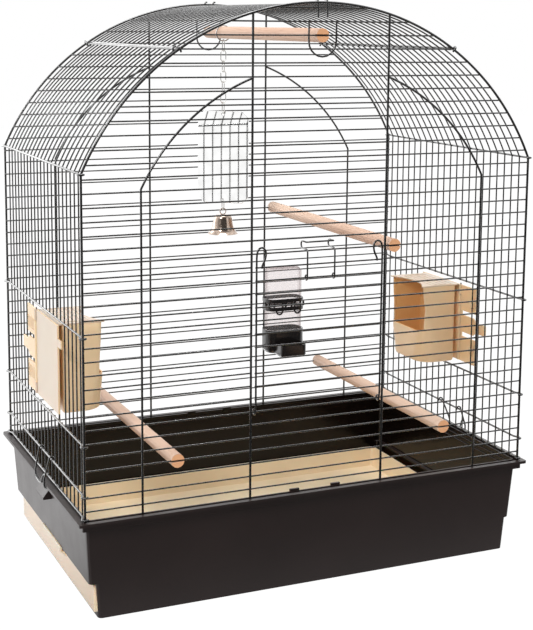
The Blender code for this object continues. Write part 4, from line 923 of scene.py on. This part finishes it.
def feeder(side_name, turn, first_wire, drop):
    """Cup, cover and flange in the left feeder's place, turned about for the right one."""
    plate_out = BAR_X + BAR_WIRE + FEEDER_STANDOFF + FEEDER_PLATE
    bottom = RIM_Z + FEEDER_BOTTOM - drop
    held_y = side_wire_y(FEEDER_FIRST_WIRE + FEEDER_WIRES)
    axis = Vector((-plate_out + FEEDER_PLATE / 2, held_y - FEEDER_AXIS_GAP, 0))
    placed = Matrix.Identity(4)
    if turn:
        shift = Vector((0, side_wire_y(first_wire) + held_y, 0))
        placed = Matrix.Translation(shift) @ Matrix.Rotation(math.pi, 4, "Z")
    name = "feeder_" + side_name
    for part, make, body, looks, width in (
        ("cup", feeder_cup, name, CUP_LOOKS, CUP_EDGE),
        # The cover is all in the painted light copy of the cream
        ("cover", feeder_cover, name, (CREAM_PAINTED_LIGHT,), COVER_EDGE),
        ("flange", feeder_flange, "cage", (CREAM,), FLANGE_EDGE),
    ):
        shape = finished(make(axis, -plate_out, bottom))
        bmesh.ops.transform(shape, matrix=placed, verts=shape.verts)
        moulding(f"{name}_{part}", shape, body, looks, width)


def cup_ring(axis, inset, corners, z):
    """The cup's outline at a height, with the corners towards the bird rounded most."""
    low = (-SIDE_X + ROW_WIRE + 2 * CLEARANCE + inset, axis.y - FEEDER_FAR + inset)
    high = (axis.x + FEEDER_DEPTH - inset, axis.y - FEEDER_SEAM - inset)
    near, far = (max(c - inset, CUP_LEAST_CORNER) for c in corners)
    radii = (near, CUP_OUTER_CORNER, CUP_OUTER_CORNER, far)
    return [Vector((x, y, z)) for x, y in plan(low, high, radii)]


def cup_levels(start, stop, before, after):
    """Heights with their corner radii, which ease from one pair into another."""
    levels = []
    for share in evenly(0, 1, CUP_STEPS):
        ease = share * share * (3 - 2 * share)
        corners = [a + (b - a) * ease for a, b in zip(before, after)]
        levels.append((start + (stop - start) * share, corners))
    return levels


def cup_bowl(axis, low, lip, top):
    """Hollow cup, rounder towards its floor and cut open to a lip towards the bird."""
    wall = FEEDER_WALL
    full = (CUP_ROUND, CUP_ROUND)
    levels = cup_levels(low + CUP_FOOT_HEIGHT, lip, full, CUP_LIP_CORNERS)
    levels += cup_levels(lip, top, CUP_LIP_CORNERS, CUP_TOP_CORNERS)[1:]
    outside = [cup_ring(axis, inset, full, low + up) for inset, up in CUP_FOOT]
    outside += [cup_ring(axis, 0, corners, z) for z, corners in levels]
    inside = [
        cup_ring(axis, wall + CUP_FLOOR_INSET, full, low + wall),
        cup_ring(axis, wall, full, low + wall + CUP_FOOT_HEIGHT),
    ]
    inside += [cup_ring(axis, wall, corners, z) for z, corners in levels[1:]]
    shape = bmesh.new()
    skin(shape, outside + inside[::-1])
    inner = axis.x + FEEDER_DEPTH
    far, near = axis.y - FEEDER_FAR, axis.y - FEEDER_SEAM
    mouth = bmesh.new()
    box(mouth, (inner - MOUTH_DEPTH, far + wall, lip), (inner + wall, near - wall, top + wall))
    shape = carved(finished(shape), finished(mouth))
    x_low, x_high = -SIDE_X, inner - wall / 2
    y_low, y_high = far + wall / 2, near - wall / 2
    middle = Vector(((x_low + x_high) / 2, (y_low + y_high) / 2, (lip + top) / 2))
    # Faces of the hollow take the painted shade copy of the cream
    for face in shape.faces:
        c = face.calc_center_median()
        within = x_low + wall < c.x < x_high and y_low < c.y < y_high and c.z > low + wall / 2
        inward = (middle - c).dot(face.normal) > 0
        face.material_index = CUP_PAINTED_SHADE if within and inward else CUP_PLAIN
    return shape


def cup_plates(axis, out, bottom, top):
    """Flat outer plate with its handle, the neck behind it and the barrels on the pin."""
    back = out + FEEDER_PLATE
    far, near = axis.y - FEEDER_PLATE_FAR, axis.y - FEEDER_SEAM
    plates = bmesh.new()
    box(plates, (out, far, bottom), (back, near, top + COVER_THICKNESS))
    handle_top = bottom + FEEDER_HEIGHT - HANDLE_DROP
    box(
        plates,
        (out, far - HANDLE_LENGTH, handle_top - HANDLE_HEIGHT),
        (back - CLEARANCE, far + OVERRUN, handle_top),
    )
    box(
        plates,
        (back - CLEARANCE, axis.y - FEEDER_FAR + NECK_INSET[0], bottom + NECK_INSET[1]),
        (-SIDE_X + ROW_WIRE + OVERRUN, near - NECK_INSET[1], top - NECK_INSET[1]),
    )
    half = BARREL_LENGTH / 2 - CLEARANCE
    for z in (bottom + BARREL_LENGTH / 2, bottom + FEEDER_HEIGHT - BARREL_LENGTH / 2):
        rod(plates, axis + z * Z, BARREL_RADIUS, 2 * half)
        box(plates, (out, near - OVERRUN, z - half), (back, axis.y, z + half))
    # Faces that look outwards from the cage take the painted light copy of the cream
    for face in finished(plates).faces:
        face.material_index = CUP_PAINTED_LIGHT if face.normal.x < -FACING else CUP_PLAIN
    return plates


def feeder_cup(axis, out, bottom):
    """Bowl with the plates on its outside."""
    top = bottom + FEEDER_HEIGHT - COVER_THICKNESS
    bowl = cup_bowl(axis, bottom - CUP_DROP, bottom + CUP_LIP - CUP_DROP, top)
    return merged(bowl, cup_plates(axis, out, bottom, top))


def feeder_cover(axis, out, bottom):
    """Ribbed cover over the cup, scooped out at its inner edge."""
    top = bottom + FEEDER_HEIGHT
    inner = axis.x + FEEDER_DEPTH
    near, far = axis.y - FEEDER_SEAM, axis.y - FEEDER_FAR
    half = (near - far) / 2 - 2 * FEEDER_WALL
    radius = (half**2 + COVER_SCOOP**2) / (2 * COVER_SCOOP)
    sweep = math.asin(half / radius)
    centre = (inner + radius - COVER_SCOOP, (near + far) / 2)
    left = out + FEEDER_PLATE + CLEARANCE
    scoop = [
        (centre[0] - radius * math.cos(a), centre[1] + radius * math.sin(a))
        for a in evenly(-sweep, sweep, SCOOP_STEPS)
    ]
    outline = [(left, far), (inner, far), *scoop, (inner, near), (left, near)]
    shape = bmesh.new()
    prism(shape, outline, lambda x, y, z: Vector((x, y, z)), top - COVER_THICKNESS, top)
    first, last = left + RIB_PITCH, inner - COVER_SCOOP - RIB_PITCH / 2
    start, stop = far + RIB_PITCH, near - RIB_PITCH / 2
    low, high = top - RIB_RISE, top + RIB_RISE
    for x in evenly(first, last, int((last - left) / RIB_PITCH)):
        box(shape, (x, start, low), (x + RIB_WIDTH, stop, high))
    for y in (start, stop):
        box(shape, (first, y, low), (last, y + RIB_WIDTH, high))
    return shape


def feeder_flange(axis, out, bottom):
    """Ribbed plate beside the cup, notched above and below a tongue, with clips round a wire."""
    back = out + FEEDER_PLATE
    near = axis.y + FEEDER_SEAM
    far = near + FLANGE_LENGTH
    top = bottom + FEEDER_HEIGHT
    middle = (bottom + top) / 2
    root, tip = TONGUE_ROOT / 2, TONGUE_TIP / 2
    notch_in = far - NOTCH_LENGTH
    gap = NOTCH_HEIGHT
    upper = [
        (notch_in, root + gap), (notch_in, root), (far - gap, root),
        (far, tip), (far + TONGUE_LENGTH, tip),
    ]
    outline = [(near, bottom), (far, bottom), (far, middle - root - gap)]
    outline += [(y, middle - z) for y, z in upper]
    outline += [(y, middle + z) for y, z in reversed(upper)]
    outline += [(far, middle + root + gap), (far, top), (near, top)]
    shape = bmesh.new()
    prism(shape, outline, lambda y, z, x: Vector((x, y, z)), out, back)
    spans = (
        (bottom + BARREL_LENGTH, middle - root - 2 * gap),
        (middle + root + 2 * gap, top - BARREL_LENGTH),
    )
    for y in evenly(near + 3 * RIB_WIDTH, far - 3 * RIB_WIDTH, FLANGE_RIBS - 1):
        start, stop = y - RIB_WIDTH, y + RIB_WIDTH
        for low, high in spans:
            box(shape, (out - RIB_RISE, start, low), (out + FEEDER_PLATE / 2, stop, high))
    wire_y = side_wire_y(FEEDER_FIRST_WIRE + FEEDER_WIRES)
    reach = -SIDE_X + ROW_WIRE + CLIP_THICKNESS
    start = wire_y - ROW_WIRE - CLEARANCE - CLIP_THICKNESS
    stop = start + CLIP_THICKNESS
    half = CLIP_HEIGHT / 2
    for z in (bottom + BARREL_LENGTH + CLIP_HEIGHT, top - BARREL_LENGTH - CLIP_HEIGHT):
        box(shape, (back - FEEDER_PLATE / 2, start, z - half), (reach, stop, z + half))
        box(
            shape,
            (reach - CLIP_THICKNESS + CLEARANCE, start + OVERRUN, z - half / CLIP_TAPER),
            (reach - CLEARANCE, wire_y + ROW_WIRE, z + half / CLIP_TAPER),
        )
    half = (FEEDER_HEIGHT - 2 * BARREL_LENGTH) / 2 - CLEARANCE
    rod(shape, axis + middle * Z, BARREL_RADIUS, 2 * half)
    box(shape, (out, axis.y, middle - half), (back, near + OVERRUN, middle + half))
    return shape


def carved(shape, cutter):
    """A shape with a cutter taken out of it."""
    pieces = []
    for part in (shape, cutter):
        mesh = bpy.data.meshes.new("carving")
        part.to_mesh(mesh)
        part.free()
        pieces.append(add_object("carving", mesh))
    step = pieces[0].modifiers.new("carve", "BOOLEAN")
    step.operation = "DIFFERENCE"
    step.solver = "EXACT"
    step.object = pieces[1]
    graph = bpy.context.evaluated_depsgraph_get()
    made = bmesh.new()
    made.from_object(pieces[0], graph)
    for piece in pieces:
        bpy.data.objects.remove(piece)
    made.normal_update()
    return made


def merged(shape, other):
    """One shape out of two."""
    mesh = bpy.data.meshes.new("merging")
    other.to_mesh(mesh)
    other.free()
    shape.from_mesh(mesh)
    bpy.data.meshes.remove(mesh)
    return shape


# Drinker and mirror


def tank_ring(inset, z):
    """The tank's outline at a height."""
    low = [c - h + inset for c, h in zip((DRINKER_X, DRINKER_Y), TANK_HALF)]
    high = [c + h - inset for c, h in zip((DRINKER_X, DRINKER_Y), TANK_HALF)]
    return [Vector((x, y, z)) for x, y in plan(low, high, [TANK_CORNER - inset] * 4)]


def row_arms(shape, start, row):
    """Two arms that reach back round a row of the back panel."""
    z = row_z(row)
    bottom, top = z - ARM_HEIGHT / 2, z + ARM_HEIGHT / 2
    slot = ROW_WIRE + CLEARANCE
    stop = ROW_Y - slot
    end = ROW_Y + ARM_PROUD
    for side in (-1, 1):
        x = DRINKER_X + side * ARM_SPREAD
        low, high = x - ARM_WIDTH / 2, x + ARM_WIDTH / 2
        box(shape, (low, start, bottom), (high, stop, top))
        box(shape, (low, stop - OVERRUN, z + slot), (high, end, top))
        box(shape, (low, stop - OVERRUN, bottom), (high, end, z - slot))


def drinker_collar():
    """Open collar: two bands with posts between them and two small loops below."""
    shape = bmesh.new()
    low = RIM_Z + COLLAR_BOTTOM
    for start, stop in COLLAR_BANDS:
        skin(shape, [
            tank_ring(0, low + start), tank_ring(-COLLAR_WALL, low + start),
            tank_ring(-COLLAR_WALL, low + stop), tank_ring(0, low + stop),
        ], looped=True)
    front = DRINKER_Y - TANK_HALF[1]
    half = COLLAR_POST_WIDTH / 2
    start = low + COLLAR_BANDS[0][1] - CLEARANCE
    stop = low + COLLAR_BANDS[1][0] + CLEARANCE
    for post in COLLAR_POSTS:
        x = DRINKER_X + post
        y = front if abs(post) < TANK_HALF[0] - TANK_CORNER else front + TANK_CORNER / 3
        near, far = y - COLLAR_WALL + CLEARANCE, y - CLEARANCE
        box(shape, (x - half, near, start), (x + half, far, stop))
    for side in (-1, 1):
        x = DRINKER_X + side * (TANK_HALF[0] + COLLAR_WALL / 2)
        box(
            shape,
            (x - COLLAR_WALL / 3, DRINKER_Y - COLLAR_POST_WIDTH, start),
            (x + COLLAR_WALL / 3, DRINKER_Y + COLLAR_POST_WIDTH, stop),
        )
    for x in COLLAR_LOOP_X:
        middle = Vector((DRINKER_X + x, front - COLLAR_WALL / 2, low + COLLAR_BANDS[0][0]))
        ringlet(shape, middle, COLLAR_LOOP_RADIUS, half, X, Z)
    row_arms(shape, DRINKER_Y + TANK_HALF[1] + COLLAR_WALL / 2, COLLAR_ROW)
    moulding("drinker_collar", finished(shape), "cage", (BLACK,), COLLAR_EDGE)


def trough_ring(front, inset, z):
    """The trough's outline at a height, rounded towards the bird."""
    low = (DRINKER_X - TROUGH_HALF + inset, front - TROUGH_LENGTH + inset)
    high = (DRINKER_X + TROUGH_HALF - inset, front + TANK_CORNER)
    back, near = TROUGH_CORNERS
    points = plan(low, high, (back, back, near - inset, near - inset))
    return [Vector((x, y, z)) for x, y in points]


def drinker_basin():
    """Rounded block that the tank stands in, with a narrower trough towards the bird."""
    shape = bmesh.new()
    low, high = RIM_Z + BASIN_BOTTOM, RIM_Z + BASIN_TOP
    seat = RIM_Z + TANK_BOTTOM - CLEARANCE
    rim = RIM_Z + TROUGH_RIM
    wall = BASIN_WALL
    front = DRINKER_Y - TANK_HALF[1] - wall
    skin(shape, [tank_ring(inset, z) for inset, z in (
        (BASIN_FOOT_INSET - wall, low), (-wall, low + BASIN_FOOT_HEIGHT), (-wall, high),
        (0, high), (0, seat),
    )])
    skin(shape, [trough_ring(front, inset, z) for inset, z in (
        (TROUGH_FOOT_INSET, low - TROUGH_DROP), (0, low + TROUGH_DROP), (0, rim),
        (wall / 2, rim), (wall / 2, low + wall),
    )])
    row_arms(shape, DRINKER_Y + TANK_HALF[1] + wall / 2, BASIN_ROW)
    moulding("drinker_basin", finished(shape), "cage", (BLACK,), BASIN_EDGE, segments=3)


def turned_mirror():
    """The mirror's plate, turned on its chain towards the left side."""
    shape = plain_copy("toy_mirror", FLAT_MIRROR)
    place = Matrix.Translation((0, MIRROR_Y, 0))
    turn = place @ Matrix.Rotation(MIRROR_TURN, 4, "Z") @ place.inverted()
    bmesh.ops.transform(shape, matrix=turn, verts=shape.verts)
    moulding("toy_mirror", shape, "toy", (MIRROR,), MIRROR_EDGE, angle=40)


def bell():
    """Thin flared bell with the ring that it hangs by."""
    corners = [v.co for v in frame["nodes"]["toy_bell"].data.vertices]
    x, y = ((min(c[i] for c in corners) + max(c[i] for c in corners)) / 2 for i in (0, 1))
    lip, top = min(c.z for c in corners), max(c.z for c in corners)
    crown = lip + BELL_HEIGHT
    profile = smooth([
        Vector((across * BELL_RADIUS, 0, lip + up * BELL_HEIGHT)) for across, up in BELL_SHARES
    ], rounds=2)
    inside = [
        Vector((r.x - BELL_WALL, 0, r.z - BELL_WALL * (r.z - lip) / BELL_HEIGHT))
        for r in reversed(profile)
    ]
    shape = bmesh.new()
    skin(shape, [
        [Vector((x + r.x * math.cos(t), y + r.x * math.sin(t), r.z)) for t in circle(BELL_STEPS)]
        for r in inside + profile
    ])
    radius = (top - crown - BELL_WIRE) / 2
    ringlet(shape, Vector((x, y, crown + radius)), radius, BELL_WIRE, X, Z)
    moulding("toy_bell", finished(shape), "bell", (BRONZE,), BELL_EDGE, angle=50)


# Stage, light and camera


def ray_is(tree, *kinds):
    """One for rays of any of the kinds."""
    path = new_node(tree, "ShaderNodeLightPath")
    total = path.outputs[f"Is {kinds[0]} Ray"]
    for other in kinds[1:]:
        total = maths(tree, "MAXIMUM", total, path.outputs[f"Is {other} Ray"])
    return total


def brighter_behind(tree, vector, spread, low, high):
    """A level that rises from in front of the cage to behind it and above it."""
    split = new_node(tree, "ShaderNodeSeparateXYZ", Vector=vector).outputs
    reach = maths(tree, "MULTIPLY_ADD", split["Z"], BRIGHTER_ABOVE, split["Y"])
    level = new_node(
        tree, "ShaderNodeMapRange",
        Value=reach, From_Min=spread[0], From_Max=spread[1], To_Min=low, To_Max=high,
    )
    level.interpolation_type = "SMOOTHSTEP"
    return level.outputs["Result"]


def sheet(name, across, up):
    """A flat rectangle about its centre, the nodes of its material and their glow."""
    mesh = bpy.data.meshes.new(name)
    corners = [(-across, -up, 0), (across, -up, 0), (across, up, 0), (-across, up, 0)]
    mesh.from_pydata(corners, [], [(0, 1, 2, 3)])
    look = bpy.data.materials.new(name + "_white")
    look.use_nodes = True
    mesh.materials.append(look)
    tree = look.node_tree
    tree.nodes.clear()
    glow = new_node(tree, "ShaderNodeEmission")
    new_node(tree, "ShaderNodeOutputMaterial", Surface=glow.outputs[0])
    return mesh, tree, glow


def aim(made, place, target, axis):
    """Puts an object in its place with an axis towards a target."""
    made.location = place
    made.rotation_euler = (Vector(target) - Vector(place)).to_track_quat(axis, "Y").to_euler()


def stage():
    """White floor, which shiny surfaces see darker in front of the cage than behind it."""
    mesh, tree, glow = sheet("floor", FLOOR_HALF, FLOOR_HALF)
    white = (FLOOR_WHITE, FLOOR_WHITE, FLOOR_WHITE, 1)
    diffuse = new_node(tree, "ShaderNodeBsdfDiffuse", Color=white)
    place = new_node(tree, "ShaderNodeNewGeometry").outputs["Position"]
    mirrored = brighter_behind(tree, place, FLOOR_SPREAD, *MIRRORED_FLOOR)
    direct = ray_is(tree, "Camera", "Transmission")
    glossy = ray_is(tree, "Glossy")
    seen = maths(tree, "MULTIPLY", direct, FLOOR_GLOW)
    strength = maths(tree, "ADD", seen, maths(tree, "MULTIPLY", glossy, mirrored))
    share = maths(tree, "MULTIPLY", maths(tree, "MAXIMUM", direct, glossy), FLOOR_SHARE)
    mixed(tree, share, diffuse, feed(tree, glow, Strength=strength))
    floor = add_object("floor", mesh)


def card():
    """White card that only the mirror and other shiny surfaces see."""
    mesh, tree, glow = sheet("card", *(size / 2 for size in CARD_SIZE))
    feed(tree, glow, Strength=CARD_GLOW)
    made = add_object("card", mesh)
    aim(made, CARD_PLACE, (0, MIRROR_Y, MIRROR_Z), "Z")
    made.visible_camera = made.visible_diffuse = False
    made.visible_transmission = made.visible_shadow = False


def world():
    """White background and sky light, with the same darker front in shiny surfaces."""
    made = bpy.data.worlds.new("studio")
    bpy.context.scene.world = made
    made.use_nodes = True
    tree = made.node_tree
    direction = new_node(tree, "ShaderNodeTexCoord").outputs["Generated"]
    mirrored = brighter_behind(tree, direction, SKY_SPREAD, *MIRRORED_SKY)
    direct = ray_is(tree, "Camera", "Transmission")
    glossy = ray_is(tree, "Glossy")
    plain = maths(tree, "SUBTRACT", 1, maths(tree, "MAXIMUM", direct, glossy))
    level = maths(tree, "MULTIPLY_ADD", plain, SKY_LEVEL, direct)
    strength = maths(tree, "MULTIPLY_ADD", glossy, mirrored, level)
    feed(tree, tree.nodes["Background"], Color=(1, 1, 1, 1), Strength=strength)


def lamp(name, place, target, size, power, gloss_only):
    light = bpy.data.lights.new(name, "AREA")
    light.shape = "DISK"
    light.size = size
    light.energy = power
    made = add_object(name, light)
    aim(made, place, target, "-Z")
    made.visible_diffuse = not gloss_only


def camera():
    made = bpy.data.cameras.new("camera")
    made.sensor_width = SENSOR
    made.lens = SENSOR * FOCAL_PIXELS / PHOTO_HEIGHT
    made.shift_x, made.shift_y = SHIFT
    made.clip_end = CAMERA_REACH
    eye = add_object("camera", made)
    eye.matrix_world = (
        Matrix.Translation(CAMERA_PLACE)
        @ Matrix.Rotation(CAMERA_YAW, 4, "Z")
        @ Matrix.Rotation(math.pi / 2 + CAMERA_PITCH, 4, "X")
        @ Matrix.Rotation(CAMERA_ROLL, 4, "Z")
    )
    bpy.context.scene.camera = eye
    bpy.context.scene.view_settings.view_transform = "Standard"


wall_panel("front_panel", -1, True)
wall_panel("back_panel", 1, False)
side_panel("left_side", -1, FEEDER_FIRST_WIRE)
side_panel("right_side", 1, FEEDER_FIRST_WIRE + FEEDER_RIGHT_SHIFT)
roof_lid()
front_door()
door_latch()
base_clip("base_clip_left", -1)
base_clip("base_clip_right", 1)

softened("base_tub", "cage", (BASE, BASE_PAINTED_SHADE), TUB_EDGE, takes_painted_shade)
softened("drawer", "drawer", (TRAY, TRAY_PAINTED_LIGHT), TRAY_EDGE, takes_painted_light)
feeder("left", False, FEEDER_FIRST_WIRE, 0)
feeder("right", True, FEEDER_FIRST_WIRE + FEEDER_RIGHT_SHIFT, FEEDER_RIGHT_DROP)
drinker_collar()
drinker_basin()
turned_mirror()
bell()

looks = {"drinker_tank": CLEAR, "toy_clapper": BRONZE}
for name in frame["nodes"]:
    if name.startswith("perch"):
        looks[name] = WOOD
    elif name.startswith(("toy_hook", "toy_link", "toy_connector")) or name.endswith("_pin"):
        looks[name] = STEEL
for name, look in looks.items():
    node = frame["nodes"][name]
    node.data.materials.clear()
    node.data.materials.append(look)
    node.data.shade_smooth()

stage()
card()
world()
for settings in LAMPS:
    lamp(*settings)
camera()
